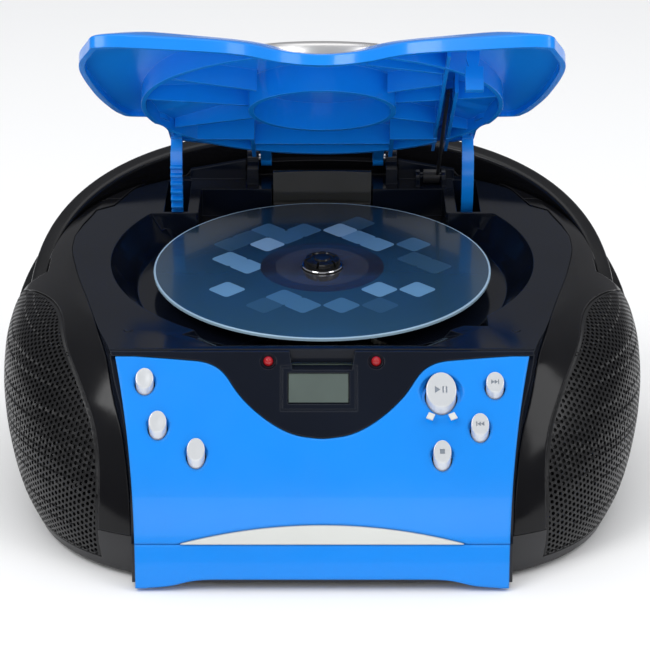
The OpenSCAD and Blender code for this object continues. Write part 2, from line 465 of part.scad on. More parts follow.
// domed solid of the lid: inset and height of its rings at the front and at the rear
// edge; k = 0 gives the outside, k = 1 the inside
l_in = [0, 3, 8, 16, 30, 46];
l_front = [8.8, 9.9, 11.4, 13.6, 15.8, 16.9];
l_rear = [12.4, 13.2, 14.3, 15.4, 16.6, 17.2];
l_thin = [0.5, 1, 1.5, 1.8, 2, 2];
module lid_solid(k = 0, zb = 0) {
  n = len(full_lid);
  pts = [for (j = [-1:5]) for (p = full_lid) let (t = (p[1]+79)/156, l = norm(p), q = 1 - (l_in[max(j,0)]+2.2*k)/l)
     [p[0]*q, p[1]*q, j < 0 ? zb : l_front[j]*(1-t)+l_rear[j]*t-l_thin[j]*k*lid_skin/2]];
  polyhedron(points = pts, faces = concat(ring_faces(n, 7), [[for (i = [0:n-1]) i]], [[for (i = [n-1:-1:0]) 6*n+i]]), convexity = 6);
}
module lid() color([0.05,0.42,0.95]) lframe() difference() {
  union() {
    // domed skin with its rim; the rim's lower edge rises to the rear
    intersection() {
      difference() { lid_solid(0, 4.6); lid_solid(1, 4); }
      translate([0,-79,4.6]) rotate([2.4,0,0]) translate([-100,-10,0]) cube([200,200,20]);
    }
    // hub ring, skirt ring and ribs under the skin
    intersection() {
      union() {
        difference() { translate([0,0,5]) cylinder(r = 26, h = 14); translate([0,0,4]) cylinder(r = 24, h = 16); }
        difference() { translate([0,0,6.3]) cylinder(r = 63.6, h = 12, $fn = 96); translate([0,0,5]) cylinder(r = 62, h = 16, $fn = 96); translate([-70,-70,0]) cube([140,62,20]); }
        for (a = [20,45,70,110,135,160]) rotate(a) translate([25,-0.8,7.4]) cube([37.5,1.6,11]);
        translate([-46,54,6]) cube([92,1.6,12]);
        // rails of the spring's channel
        for (x = [41.2,45.6]) translate([x,-20,8]) cube([1.2,30,10]);
        // roots of the guide arms
        for (s = [-1,1]) translate([s*arm_x-2.2,50.6,9]) cube([4.4,4.6,10]);
        // latch hook block
        translate([47,-57,-3.6]) cube([6,1.8,20]);
        translate([47,-57,-3.6]) cube([6,3.4,1.6]);
      }
      lid_solid(0.5, -20);
    }
    // hinge arms with knuckles
    for (s = [-1,1]) translate([s*21.5-2,0,0]) {
      translate([0,hy,hz]) rotate([0,90,0]) cylinder(r = 3.3, h = 4);
      translate([0,66,8]) cube([4,14,4]);
      translate([0,62,8]) cube([4,8,5]);
    }
    // guide arms, curved about the hinge; the left one is a toothed sector
    intersection() {
      for (s = [-1,1]) translate([s*arm_x-2.2,hy,hz]) rotate([90,0,90]) linear_extrude(4.4) guide2d(s);
      union() { lid_solid(0.3, 0); translate([-100,-100,-60]) cube([200,300,64.6]); }
    }
  }
  // hinge bores
  translate([-40,hy,hz]) rotate([0,90,0]) cylinder(r = 1.58, h = 80);
  // channel of the spring's leg
  translate([42.4,-18,3]) cube([3.2,84,8.6]);
}
// arm outline in the plane of swing, centred on the hinge axis
module guide2d(s) {
  intersection() {
    difference() { circle(30.9, $fn = 96); circle(27.6, $fn = 96); }
    polygon([[0,0],[-60,2.8],[-60*cos(20),-60*sin(20)],[-60*cos(70),-60*sin(70)]]);
  }
  // nine of the 64 teeth of a full module-1 wheel
  if (s < 0) for (k = [0:8]) rotate(lid_open+ga+180/64-k*360/64) let (t = (PI/2-0.3)/2, r = 32)
    polygon([[-(r-1.6),-t-0.4],[-r,-t],[-(r+0.8),-t+0.3],[-(r+0.8),t-0.3],[-r,t],[-(r-1.6),t+0.4]]);
}
module lid_badge() color([0.85,0.86,0.88]) lframe() difference() {
  intersection() {
    translate([0,-31,18.4-200]) sphere(r = 200, $fn = 200);
    translate([0,-31,9]) linear_extrude(14) polygon([for (i = [0:59]) [28.6*cos(i*6+3), 19.4*sin(i*6+3)]]);
    // front edge slopes down to the rim
    translate([0,-50,14.6]) rotate([22.7,0,0]) translate([-50,-20,-30]) cube([100,90,30]);
  }
  translate([0,0,0.03]) lid_solid(0, 0);
}
module lid_hinge_pins() color([0.75,0.76,0.78]) dframe() for (s = [-1,1])
  translate([s > 0 ? 19.6 : -28.6,hy,hz]) rotate([0,90,0]) cylinder(r = 1.5, h = 9);
// torsion spring behind the well; its long leg rides in the lid's channel
leg_a = atan2(hz + 90*sin(lid_open) - sp_z, sp_y - hy + 90*cos(lid_open));
leg_l = norm([hz + 90*sin(lid_open) - sp_z, sp_y - hy + 90*cos(lid_open)]);
module lid_spring() color([0.12,0.12,0.13]) dframe() translate([0,sp_y,sp_z]) {
  difference() {
    union() {
      translate([38.6,0,0]) rotate([0,90,0]) cylinder(r = 2.6, h = 6.1);
      translate([44,0,0]) rotate([90-leg_a,0,0]) cylinder(r = 0.7, h = leg_l);
    }
    translate([38,0,0]) rotate([0,90,0]) cylinder(r = 1.56, h = 8);
  }
}
// rotary damper gear, 12 teeth of module 1, beside the left arm's sector
module damper_gear() color([0.88,0.88,0.84]) dframe() translate([-arm_x-2,hy,hz]) rotate([90,0,90]) {
  a = ga; d = 38;
  translate([-d*cos(a),-d*sin(a),0]) difference() { rotate(a) linear_extrude(4) gear2d(1, 12, 0.3); translate([0,0,-1]) cylinder(r = 1.56, h = 9); }
}
// spring leaf that grips the lid's hook
module latch_catch() color([0.55,0.55,0.57]) dframe() {
  translate([46,-57.8,-4.0]) cube([8,0.5,3.6]);
  translate([46,-65,-4.0]) cube([8,7.3,0.5]);
}

module handle() color([0.02,0.02,0.025]) difference() {
  union() {
    hband(0, handle_t, handle_band/2);
    for (s = [-1,1]) translate([s > 0 ? ha-7 : -ha,hp_y,hp_z]) rotate([0,90,0]) cylinder(r = 7.8, h = 7);
  }
  for (s = [-1,1]) translate([s > 0 ? 90 : -112,hp_y,hp_z]) rotate([0,90,0]) cylinder(r = 3.06, h = 22);
}
module handle_pivots() color([0.75,0.76,0.78]) for (s = [-1,1])
  translate([s > 0 ? 90.8 : -104.4,hp_y,hp_z]) rotate([0,90,0]) cylinder(r = 3, h = 13.6);

module volume_wheel() color([0.05,0.05,0.05]) difference() {
  translate([27,95,26]) cylinder(r = 9.6, h = 2.2);
  translate([27,95,20]) cylinder(r = 1.56, h = 10);
  for (i = [0:35]) translate([27,95,25]) rotate(i*10) translate([9.7,0,0]) cylinder(r = 0.3, h = 5, $fn = 4);
}
module function_switch() color([0.05,0.05,0.05]) {
  translate([-18,93.4,30.5]) cube([6,10.8,4]);
  translate([-24,93.4,28.4]) cube([18,2.2,8.2]);
}
module rubber_feet() color([0.05,0.05,0.05]) for (p = foot_p) translate([p[0],p[1],0]) cylinder(r = 6, h = 3);
module case_screws() color([0.5,0.5,0.52]) for (p = screw_p) translate([p[0],p[1],1.6]) { cylinder(r = 3, h = 2); cylinder(r = 1.5, h = 9.6); }

// the upper parts are drawn from the cabinet's underside and stand on the feet
module raised() translate([0,0,stand]) children();

raised() lower_cabinet();
raised() side_shell_left();
raised() side_shell_right();
raised() rear_cover();
raised() deck_housing();
raised() front_panel();
raised() lower_trim();
raised() crescent_trim();
raised() speaker_grille_left();
raised() speaker_grille_right();
raised() woofer_frame_left();
raised() woofer_frame_right();
raised() woofer_cone_left();
raised() woofer_cone_right();
raised() woofer_magnet_left();
raised() woofer_magnet_right();
raised() lcd_window();
raised() lcd_module();
raised() indicator_leds();
raised() control_board();
raised() tact_switches();
raised() main_board();
raised() power_transformer();
raised() mains_inlet();
raised() aux_jack();
battery_door();
battery_contacts();
raised() mech_chassis();
raised() damper_bushes();
raised() spindle_motor();
raised() turntable_hub();
raised() guide_rods();
raised() laser_pickup();
raised() sled_motor();
raised() feed_gear();
raised() compact_disc();
raised() lid();
raised() lid_badge();
raised() lid_hinge_pins();
raised() lid_spring();
raised() damper_gear();
raised() latch_catch();
raised() handle();
raised() handle_pivots();
raised() key_bass();
raised() key_repeat();
raised() key_program();
raised() key_play();
raised() key_next();
raised() key_back();
raised() key_stop();
raised() volume_wheel();
raised() function_switch();
rubber_feet();
case_screws();
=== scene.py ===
import bpy, bmesh, math
import numpy as np
from mathutils import Matrix, Vector


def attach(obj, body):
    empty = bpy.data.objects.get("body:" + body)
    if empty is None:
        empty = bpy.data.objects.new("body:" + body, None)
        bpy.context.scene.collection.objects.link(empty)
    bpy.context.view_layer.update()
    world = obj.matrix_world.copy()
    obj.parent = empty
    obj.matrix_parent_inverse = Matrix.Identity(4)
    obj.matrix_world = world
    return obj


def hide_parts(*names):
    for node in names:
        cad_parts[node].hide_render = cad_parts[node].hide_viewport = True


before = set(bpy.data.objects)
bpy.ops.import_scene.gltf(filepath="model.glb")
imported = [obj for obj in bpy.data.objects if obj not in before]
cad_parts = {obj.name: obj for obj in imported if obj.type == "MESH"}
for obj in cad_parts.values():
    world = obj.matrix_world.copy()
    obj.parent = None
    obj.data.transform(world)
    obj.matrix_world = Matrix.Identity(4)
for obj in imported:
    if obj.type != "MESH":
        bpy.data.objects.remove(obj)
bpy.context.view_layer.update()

rad, sin, cos, tan, pi = math.radians, math.sin, math.cos, math.tan, math.pi
STAND = 2.0                       # the upper parts' frame sits this far above the table (mm)

# ---------------------------------------------------------------- shape functions (mm)
def pchip(tab):
    x = np.array([t[0] for t in tab], float); y = np.array([t[1] for t in tab], float)
    h = np.diff(x); d = np.diff(y)/h
    m = np.zeros(len(x)); m[0] = d[0]; m[-1] = d[-1]
    for i in range(1, len(x)-1):
        if d[i-1]*d[i] > 0:
            w1, w2 = 2*h[i]+h[i-1], h[i]+2*h[i-1]
            m[i] = (w1+w2)/(w1/d[i-1]+w2/d[i])
    def f(q):
        q = float(min(max(q, x[0]), x[-1])); i = int(min(max(np.searchsorted(x, q)-1, 0), len(h)-1))
        t = (q-x[i])/h[i]
        return float((1+2*t)*(1-t)**2*y[i]+t*(1-t)**2*h[i]*m[i]+t*t*(3-2*t)*y[i+1]+t*t*(t-1)*h[i]*m[i+1])
    return f
HW = 112.0
TOP = 75.3
aw = pchip([[0,HW-10.6],[10,HW-5.5],[22,HW-2.2],[34,HW-0.4],[42,HW],[52,HW-0.7],[60,HW-3],[66,HW-6.5],[70,HW-11],[73,HW-16.5],[TOP,HW-23]])
bb = pchip([[0,91.4],[10,94.5],[22,96],[60,96],[66,95],[70,92.5],[73,89],[TOP,84.5]])
cut = pchip([[0,0],[56,0],[64,0.4],[70,1],[TOP,4]])
def prof(z): return -104+0.0363*max(z, 0)**1.63
def bf(z): return 8-prof(z*0.9)-1.5-cut(z)
def kt(z): return tan(rad(6))*(z/TOP)**2
def spt(z, f, o=0.0):
    a = aw(z)-o; c, s = cos(f), sin(f)
    b = (bf(z) if s < 0 else bb(z))-o
    r = (abs(c/a)**3+abs(s/b)**3)**(-1/3)
    x, y = r*c, 8+r*s
    return (x, y, z+kt(z)*y)
plan_x = pchip([[-108,61.2],[-93.4,61.9],[-86,63.3],[-79.2,65.3],[-72.8,68.1],[-61.7,71.2],[-52.3,74.2],[-28.2,80.2],[-3,86.3],[19.3,89.6],[27,89.6]])
def pw(z): return 60.2+7.3*(max(z, 0)/66)**2.4

# ---------------------------------------------------------------- mesh helpers
COL = bpy.context.scene.collection
def raw(verts, faces, name="t"):
    me = bpy.data.meshes.new(name); me.from_pydata([tuple(v) for v in verts], [], [tuple(f) for f in faces]); me.update()
    o = bpy.data.objects.new(name, me); COL.objects.link(o)
    return o
def fixn(o):
    bm = bmesh.new(); bm.from_mesh(o.data); bmesh.ops.recalc_face_normals(bm, faces=bm.faces); bm.to_mesh(o.data); bm.free(); return o
def drop(o):
    me = o.data; bpy.data.objects.remove(o)
    if me.users == 0: bpy.data.meshes.remove(me)
def csg(a, b, op="DIFFERENCE", keep=False):
    m = a.modifiers.new("b", "BOOLEAN"); m.operation = op; m.solver = "MANIFOLD"; m.object = b
    dg = bpy.context.evaluated_depsgraph_get(); dg.update()
    me = bpy.data.meshes.new_from_object(a.evaluated_get(dg)); a.modifiers.clear()
    old = a.data; a.data = me; bpy.data.meshes.remove(old)
    if not keep: drop(b)
    return a
def sub(a, *bs):
    for b in bs: a = csg(a, b, "DIFFERENCE")
    return a
def uni(a, *bs):
    for b in bs: a = csg(a, b, "UNION")
    return a
def inter(a, *bs):
    for b in bs: a = csg(a, b, "INTERSECT")
    return a
def copy(o):
    n = o.copy(); n.data = o.data.copy(); COL.objects.link(n); return n
def xf(o, m):
    o.data.transform(m)
    if m.determinant() < 0: o.data.flip_normals()
    o.data.update(); return o
def T(x, y, z): return Matrix.Translation((x, y, z))
def RX(a): return Matrix.Rotation(rad(a), 4, 'X')
def RY(a): return Matrix.Rotation(rad(a), 4, 'Y')
def RZ(a): return Matrix.Rotation(rad(a), 4, 'Z')
MIR = Matrix.Scale(-1, 4, (1, 0, 0))
def box(x, y, z, w, d, h):
    v = [(x,y,z),(x+w,y,z),(x+w,y+d,z),(x,y+d,z),(x,y,z+h),(x+w,y,z+h),(x+w,y+d,z+h),(x,y+d,z+h)]
    return raw(v, [(0,3,2,1),(4,5,6,7),(0,1,5,4),(1,2,6,5),(2,3,7,6),(3,0,4,7)])
def prism(poly, z0, z1):
    n = len(poly); A = sum(poly[i][0]*poly[(i+1) % n][1]-poly[(i+1) % n][0]*poly[i][1] for i in range(n))
    if A < 0: poly = poly[::-1]
    v = [(p[0],p[1],z0) for p in poly]+[(p[0],p[1],z1) for p in poly]
    return raw(v, [tuple(range(n-1,-1,-1)), tuple(range(n,2*n))]+[(i,(i+1) % n,n+(i+1) % n,n+i) for i in range(n)])
def rings(R, closed=True, caps=True):
    """rows of equal length, each running round; the first and last are capped."""
    n = len(R[0]); v = [p for r in R for p in r]; f = []
    for j in range(len(R)-1):
        for i in range(n if closed else n-1):
            i2 = (i+1) % n; f.append((j*n+i, j*n+i2, (j+1)*n+i2, (j+1)*n+i))
    if caps: f.append(tuple(range(n-1,-1,-1))); m = (len(R)-1)*n; f.append(tuple(range(m, m+n)))
    return raw(v, f)
def lathe(pr, n=64, a0=0.0):
    """closed (r,z) outline turned about z; r=0 points become the poles."""
    rows = []
    v = []; f = []
    idx = []
    for (r, z) in pr:
        if abs(r) < 1e-9: idx.append([len(v)]*n); v.append((0,0,z))
        else:
            idx.append(list(range(len(v), len(v)+n)))
            v += [(r*cos(a0+2*pi*i/n), r*sin(a0+2*pi*i/n), z) for i in range(n)]
    m = len(pr)
    for j in range(m):
        a, b = idx[j], idx[(j+1) % m]
        if a[0] == a[1] and b[0] == b[1]: continue
        for i in range(n):
            i2 = (i+1) % n
            q = [a[i], a[i2], b[i2], b[i]]
            q2 = []
            for k in q:
                if k not in q2: q2.append(k)
            f.append(tuple(q2))
    return fixn(raw(v, f))
def cyl(r, h, n=64, z=0.0):
    return prism([(r*cos(2*pi*i/n), r*sin(2*pi*i/n)) for i in range(n)], z, z+h)
def along_x(poly, x0, x1):
    """polygon of (y,z) points drawn from x0 to x1."""
    return xf(prism(poly, x0, x1), Matrix(((0,0,1,0),(1,0,0,0),(0,1,0,0),(0,0,0,1))))
def facing(poly, y0=-130, y1=-50):
    """polygon of (x,z) points drawn through y."""
    return xf(prism(poly, y0, y1), Matrix(((1,0,0,0),(0,0,1,0),(0,1,0,0),(0,0,0,1))))
def circ(r, n=96, cx=0, cy=0): return [(cx+r*cos(2*pi*i/n), cy+r*sin(2*pi*i/n)) for i in range(n)]
def band(d0, d1, z0, z1, w, n=40):
    p = [(prof(z0+(z1-z0)*i/n)+d0*1.16, z0+(z1-z0)*i/n) for i in range(n+1)]
    q = [(prof(z0+(z1-z0)*i/n)+d1*1.16, z0+(z1-z0)*i/n) for i in range(n, -1, -1)]
    return along_x(p+q, -w, w)
def rounded(pts, big=2.5, seg=5):
    """closed polygon with its corners rounded: gentle turns blend fully, sharp ones by big."""
    out = []; n = len(pts)
    for i in range(n):
        a, b, c = Vector(pts[i-1]), Vector(pts[i]), Vector(pts[(i+1) % n])
        u, w = (a-b), (c-b); lu, lw = u.length, w.length
        turn = 180-math.degrees(u.angle(w)) if lu > 1e-6 and lw > 1e-6 else 0
        d = 0.5*min(lu, lw) if turn < 28 else min(big, 0.45*min(lu, lw))
        p, q = b+u/lu*d, b+w/lw*d
        for k in range(seg+1):
            t = k/seg; s = (1-t)**2*p+2*t*(1-t)*b+t*t*q
            if not out or (Vector(out[-1])-s).length > 0.02: out.append((s.x, s.y))
    if (Vector(out[0])-Vector(out[-1])).length < 0.02: out.pop()
    return out
OBJ = {}
def done(o, name, mat, body, nodes=(), ang=32, lift=STAND, smooth=True):
    """finish a piece: to metres, shaded, named, painted and put on its body."""
    xf(o, Matrix.Scale(0.001, 4) @ T(0, 0, lift))
    bm = bmesh.new(); bm.from_mesh(o.data)
    bmesh.ops.remove_doubles(bm, verts=bm.verts, dist=2e-6)
    bmesh.ops.dissolve_degenerate(bm, edges=bm.edges, dist=1e-6)
    bmesh.ops.recalc_face_normals(bm, faces=bm.faces)
    bm.to_mesh(o.data); bm.free()
    if smooth:
        for p in o.data.polygons: p.use_smooth = True
        o.data.set_sharp_from_angle(angle=rad(ang))
    o.name = name; o.data.name = name
    if mat is not None:
        o.data.materials.clear(); o.data.materials.append(mat)
        for p in o.data.polygons: p.material_index = 0
    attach(o, body)
    if nodes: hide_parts(*nodes)
    OBJ[name] = o
    return o

# ---------------------------------------------------------------- materials
def mat(name, col, rough=0.3, metal=0.0, var=0.10, vscale=28.0, rvar=0.05, bump=0.05, bscale=900.0, coat=0.0,
        edge_wear_and_highlight=None, bevel=0.0, spec=0.5, trans=0.0, ior=1.45, emit=None, grain=None, sub=0.0):
    m = bpy.data.materials.new(name); m.use_nodes = True
    nt = m.node_tree; N, L = nt.nodes, nt.links; N.clear()
    out = N.new("ShaderNodeOutputMaterial"); b = N.new("ShaderNodeBsdfPrincipled"); L.new(b.outputs[0], out.inputs[0])
    tc = N.new("ShaderNodeTexCoord")
    src = tc.outputs["Object"]
    if grain:
        mp = N.new("ShaderNodeMapping"); mp.inputs["Scale"].default_value = grain; L.new(src, mp.inputs[0]); src = mp.outputs[0]
    n1 = N.new("ShaderNodeTexNoise"); n1.inputs["Scale"].default_value = vscale; n1.inputs["Detail"].default_value = 3; L.new(src, n1.inputs["Vector"])
    cr = N.new("ShaderNodeMapRange"); cr.inputs[1].default_value = 0.3; cr.inputs[2].default_value = 0.7; cr.inputs[3].default_value = 1-var; cr.inputs[4].default_value = 1+var; L.new(n1.outputs[0], cr.inputs[0])
    mx = N.new("ShaderNodeVectorMath"); mx.operation = "SCALE"; mx.inputs[0].default_value = col[:3]; L.new(cr.outputs[0], mx.inputs["Scale"])
    color = mx.outputs[0]
    n2 = N.new("ShaderNodeTexNoise"); n2.inputs["Scale"].default_value = vscale*3.1; n2.inputs["Detail"].default_value = 4; L.new(src, n2.inputs["Vector"])
    rr = N.new("ShaderNodeMapRange"); rr.inputs[1].default_value = 0.3; rr.inputs[2].default_value = 0.7; rr.inputs[3].default_value = max(rough-rvar, 0.02); rr.inputs[4].default_value = rough+rvar; L.new(n2.outputs[0], rr.inputs[0])
    rough_out = rr.outputs[0]
    n3 = N.new("ShaderNodeTexNoise"); n3.inputs["Scale"].default_value = bscale; n3.inputs["Detail"].default_value = 2; L.new(src, n3.inputs["Vector"])
    bp = N.new("ShaderNodeBump"); bp.inputs["Strength"].default_value = bump; bp.inputs["Distance"].default_value = 0.0002; L.new(n3.outputs[0], bp.inputs["Height"])
    # on rounded edges the colour is lightened: partly edge wear, partly a painted edge highlight
    if bevel > 0:
        bv = N.new("ShaderNodeBevel"); bv.samples = 4; bv.inputs["Radius"].default_value = bevel*0.001; L.new(bv.outputs[0], bp.inputs["Normal"])
        ge = N.new("ShaderNodeNewGeometry")
        dt = N.new("ShaderNodeVectorMath"); dt.operation = "DOT_PRODUCT"; L.new(bv.outputs[0], dt.inputs[0]); L.new(ge.outputs["Normal"], dt.inputs[1])
        ed = N.new("ShaderNodeMapRange"); ed.inputs[1].default_value = 0.995; ed.inputs[2].default_value = 0.85; ed.inputs[3].default_value = 0.0; ed.inputs[4].default_value = 1.0; L.new(dt.outputs["Value"], ed.inputs[0])
        wear_and_highlight_mask = N.new("ShaderNodeMath"); wear_and_highlight_mask.operation = "MULTIPLY"; L.new(ed.outputs[0], wear_and_highlight_mask.inputs[0]); L.new(n2.outputs[0], wear_and_highlight_mask.inputs[1])
        w = N.new("ShaderNodeMix"); w.data_type = "RGBA"; L.new(wear_and_highlight_mask.outputs[0], w.inputs["Factor"]); L.new(color, w.inputs["A"])
        edge_wear_and_highlight_col = edge_wear_and_highlight if edge_wear_and_highlight else tuple(min(1, c*1.5+0.02) for c in col[:3]); w.inputs["B"].default_value = (*edge_wear_and_highlight_col, 1); color = w.outputs["Result"]
        ra = N.new("ShaderNodeMath"); ra.operation = "MULTIPLY_ADD"; ra.inputs[1].default_value = 0.12; L.new(wear_and_highlight_mask.outputs[0], ra.inputs[0]); L.new(rough_out, ra.inputs[2]); rough_out = ra.outputs[0]
    L.new(color, b.inputs["Base Color"]); L.new(rough_out, b.inputs["Roughness"]); L.new(bp.outputs[0], b.inputs["Normal"])
    b.inputs["Metallic"].default_value = metal
    b.inputs["IOR"].default_value = ior
    b.inputs["Specular IOR Level"].default_value = spec
    if coat: b.inputs["Coat Weight"].default_value = coat; b.inputs["Coat Roughness"].default_value = 0.04
    if trans: b.inputs["Transmission Weight"].default_value = trans
    if sub: b.inputs["Subsurface Weight"].default_value = sub; b.inputs["Subsurface Scale"].default_value = 0.004
    if emit: b.inputs["Emission Color"].default_value = (*emit[:3], 1); b.inputs["Emission Strength"].default_value = emit[3]
    return m
M = {}
M["black_gloss"] = mat("black_gloss", (0.005,0.005,0.006), 0.13, var=0.15, rvar=0.03, bump=0.03, bscale=500, bevel=0.5, edge_wear_and_highlight=(0.035,0.035,0.04), spec=0.28)
M["handle_black"] = mat("handle_black", (0.006,0.006,0.007), 0.20, var=0.15, rvar=0.04, bump=0.05, bscale=1400, bevel=0.4, edge_wear_and_highlight=(0.04,0.04,0.045), spec=0.3)
M["deck_gloss"] = mat("deck_gloss", (0.004,0.006,0.012), 0.13, var=0.15, rvar=0.03, bump=0.03, bscale=500, bevel=0.6, edge_wear_and_highlight=(0.03,0.035,0.045), spec=0.24)
M["cabinet_grey"] = mat("cabinet_grey", (0.020,0.020,0.022), 0.36, var=0.10, rvar=0.05, bump=0.18, bscale=2600, bevel=0.4, edge_wear_and_highlight=(0.07,0.07,0.075))
M["blue_gloss"] = mat("blue_gloss", (0.004,0.235,0.82), 0.22, spec=0.4, var=0.04, rvar=0.03, bump=0.03, bscale=600, bevel=0.35, edge_wear_and_highlight=(0.05,0.36,0.92), coat=0.25, sub=0.0)
M["grille_black"] = mat("grille_black", (0.012,0.012,0.013), 0.33, metal=0.35, var=0.15, rvar=0.06, bump=0.08, bscale=2400, spec=0.6)
M["cream_silver"] = mat("cream_silver", (0.60,0.61,0.58), 0.32, var=0.03, rvar=0.04, bump=0.05, bscale=2200, bevel=0.25, edge_wear_and_highlight=(0.86,0.86,0.84))
M["key_silver"] = mat("key_silver", (0.68,0.70,0.72), 0.25, metal=0.35, var=0.015, rvar=0.02, bump=0.015, bscale=2400, bevel=0.2, edge_wear_and_highlight=(0.88,0.89,0.92))
M["key_mark"] = mat("key_mark", (0.20,0.23,0.27), 0.4, var=0.05, bump=0.04)
M["badge_silver"] = mat("badge_silver", (0.62,0.61,0.60), 0.30, metal=0.75, var=0.03, rvar=0.04, bump=0.05, bscale=2600, bevel=0.2)
M["lcd_glass"] = mat("lcd_glass", (0.075,0.098,0.088), 0.22, var=0.08, vscale=60, rvar=0.03, bump=0.02, coat=0.4)
M["lcd_green"] = mat("lcd_green", (0.10,0.13,0.10), 0.5, var=0.08)
M["lcd_seg"] = mat("lcd_seg", (0.075,0.095,0.08), 0.4, var=0.05)
M["lamp_red"] = mat("lamp_red", (0.30,0.006,0.010), 0.10, var=0.1, vscale=300, coat=0.4, emit=(0.6,0.01,0.01,0.06))
M["board"] = mat("board", (0.035,0.12,0.045), 0.4, var=0.2, vscale=180, bump=0.2, bscale=1200)
M["black_matte"] = mat("black_matte", (0.014,0.014,0.015), 0.5, var=0.12, bump=0.12, bscale=2200, bevel=0.25, edge_wear_and_highlight=(0.05,0.05,0.05))
M["steel"] = mat("steel", (0.58,0.58,0.60), 0.26, metal=1.0, var=0.05, rvar=0.07, bump=0.10, bscale=1500, grain=(1,14,1))
M["iron"] = mat("iron", (0.20,0.19,0.18), 0.5, metal=0.8, var=0.2, vscale=120, bump=0.2, bscale=1500, grain=(1,1,9))
M["paper_cone"] = mat("paper_cone", (0.030,0.030,0.031), 0.75, var=0.25, vscale=350, bump=0.4, bscale=1800)
M["magnet"] = mat("magnet", (0.06,0.06,0.065), 0.45, metal=0.4, var=0.2, vscale=90, bump=0.2)
M["rubber"] = mat("rubber", (0.018,0.018,0.018), 0.7, var=0.2, vscale=120, bump=0.25, bscale=1800)
M["gear_white"] = mat("gear_white", (0.72,0.71,0.66), 0.38, var=0.05, bump=0.08)
M["hub_black"] = mat("hub_black", (0.008,0.008,0.008), 0.16, var=0.15, bump=0.05, bevel=0.15, edge_wear_and_highlight=(0.05,0.05,0.05))
M["chrome"] = mat("chrome", (0.72,0.72,0.74), 0.12, metal=1.0, var=0.03, rvar=0.03, bump=0.03)
M["motor_zinc"] = mat("motor_zinc", (0.55,0.55,0.57), 0.33, metal=1.0, var=0.08, bump=0.12)
M["disc_rim"] = mat("disc_rim", (0.38,0.55,0.68), 0.22, var=0.05, vscale=40, rvar=0.03, bump=0.02, coat=0.3)
M["disc_clear"] = mat("disc_clear", (0.030,0.030,0.031), 0.12, metal=0.2, var=0.12, vscale=70, rvar=0.03, bump=0.02, coat=0.5)
M["disc_ring"] = mat("disc_ring", (0.085,0.083,0.083), 0.15, metal=0.4, var=0.15, vscale=60, rvar=0.03, bump=0.02, coat=0.4)
for k, c in (("tile_a",(0.16,0.34,0.52)), ("tile_b",(0.065,0.17,0.29)), ("tile_c",(0.035,0.095,0.16)), ("tile_d",(0.30,0.50,0.68))):
    M[k] = mat(k, c, 0.22, var=0.05, rvar=0.03, bump=0.02, coat=0.2)
def disc_material():
    m = mat("disc_print", (0.018,0.062,0.125), 0.20, var=0.06, rvar=0.03, bump=0.02, bscale=500, coat=0.3)
    nt = m.node_tree; N, L = nt.nodes, nt.links; b = next(n for n in N if n.type == "BSDF_PRINCIPLED")
    # painted shade: the print colour is blended with a ramp that darkens from the front edge to the back of the disc,
    # under the raised lid
    tc = N.new("ShaderNodeTexCoord"); sp = N.new("ShaderNodeSeparateXYZ"); L.new(tc.outputs["Object"], sp.inputs[0])
    back_shade_mask = N.new("ShaderNodeMapRange"); back_shade_mask.inputs[1].default_value = -0.045; back_shade_mask.inputs[2].default_value = 0.065; L.new(sp.outputs[1], back_shade_mask.inputs[0])
    back_shade_ramp = N.new("ShaderNodeValToRGB"); back_shade_ramp.color_ramp.elements[0].color = (0.026,0.070,0.110,1); back_shade_ramp.color_ramp.elements[1].color = (0.006,0.014,0.024,1)
    e = back_shade_ramp.color_ramp.elements.new(0.45); e.color = (0.020,0.058,0.098,1)
    L.new(back_shade_mask.outputs[0], back_shade_ramp.inputs[0])
    old = b.inputs["Base Color"].links[0].from_socket
    mx = N.new("ShaderNodeMix"); mx.data_type = "RGBA"; mx.inputs["Factor"].default_value = 0.85; L.new(old, mx.inputs["A"]); L.new(back_shade_ramp.outputs[0], mx.inputs["B"])
    L.new(mx.outputs["Result"], b.inputs["Base Color"])
    return m
M["disc_print"] = disc_material()
# the wide bevel also widens the lightened edge band: edge wear and painted edge highlight along the panel's edges
M["panel_blue"] = mat("panel_blue", (0.003,0.230,0.78), 0.24, spec=0.35, var=0.03, rvar=0.03, bump=0.03, bscale=600, bevel=1.3, edge_wear_and_highlight=(0.03,0.30,0.90), coat=0.15)
M["well_satin"] = mat("well_satin", (0.035,0.036,0.035), 0.20, var=0.1, rvar=0.04, bump=0.05, bscale=1400, bevel=0.4, edge_wear_and_highlight=(0.10,0.10,0.10), spec=0.7)
# ---------------------------------------------------------------- cabinet solids (mm, upper parts' frame)
NF = 240
def body(o=0.0, dz=0.0):
    zz = [0.0, 4, 8, 12, 16, 20, 25, 30, 35, 40, 44, 48, 52, 55, 57.5, 60, 62, 64, 65.5, 67, 68.3, 69.5, 70.6, 71.6, 72.5, 73.3, 74.0, 74.6, TOP]
    R = []
    for z in zz:
        zc = min(max(z, dz), TOP-dz)
        if R and zc-zprev < 1e-6: continue
        zprev = zc
        R.append([spt(zc, 2*pi*i/NF, o) for i in range(NF)])
    return rings(R)
SEAM, GAP, WALL = 12.5, 0.25, 2.2
def half_line(o):
    ys = np.linspace(-108, 27, 60)
    return [(plan_x(y)+o, y) for y in ys]+[(87.6+o,37),(84.9+o,46.6),(83.8+o,51.4),(77.5+o,56+o),(71.5+o,72.3+o),(65.3+o,81.9+o),(58.5+o,87+o)]
def mir2(h): return h+[(-x, y) for x, y in h[::-1]]
def console(o=0.0): return prism(mir2(half_line(o)), -5, 115)
def trap(z0, z1, o=0.0, n=40):
    zz = [z0+(z1-z0)*i/n for i in range(n+1)]
    return facing([(pw(z)-o, z) for z in zz]+[(o-pw(z), z) for z in zz[::-1]], -115, -55)
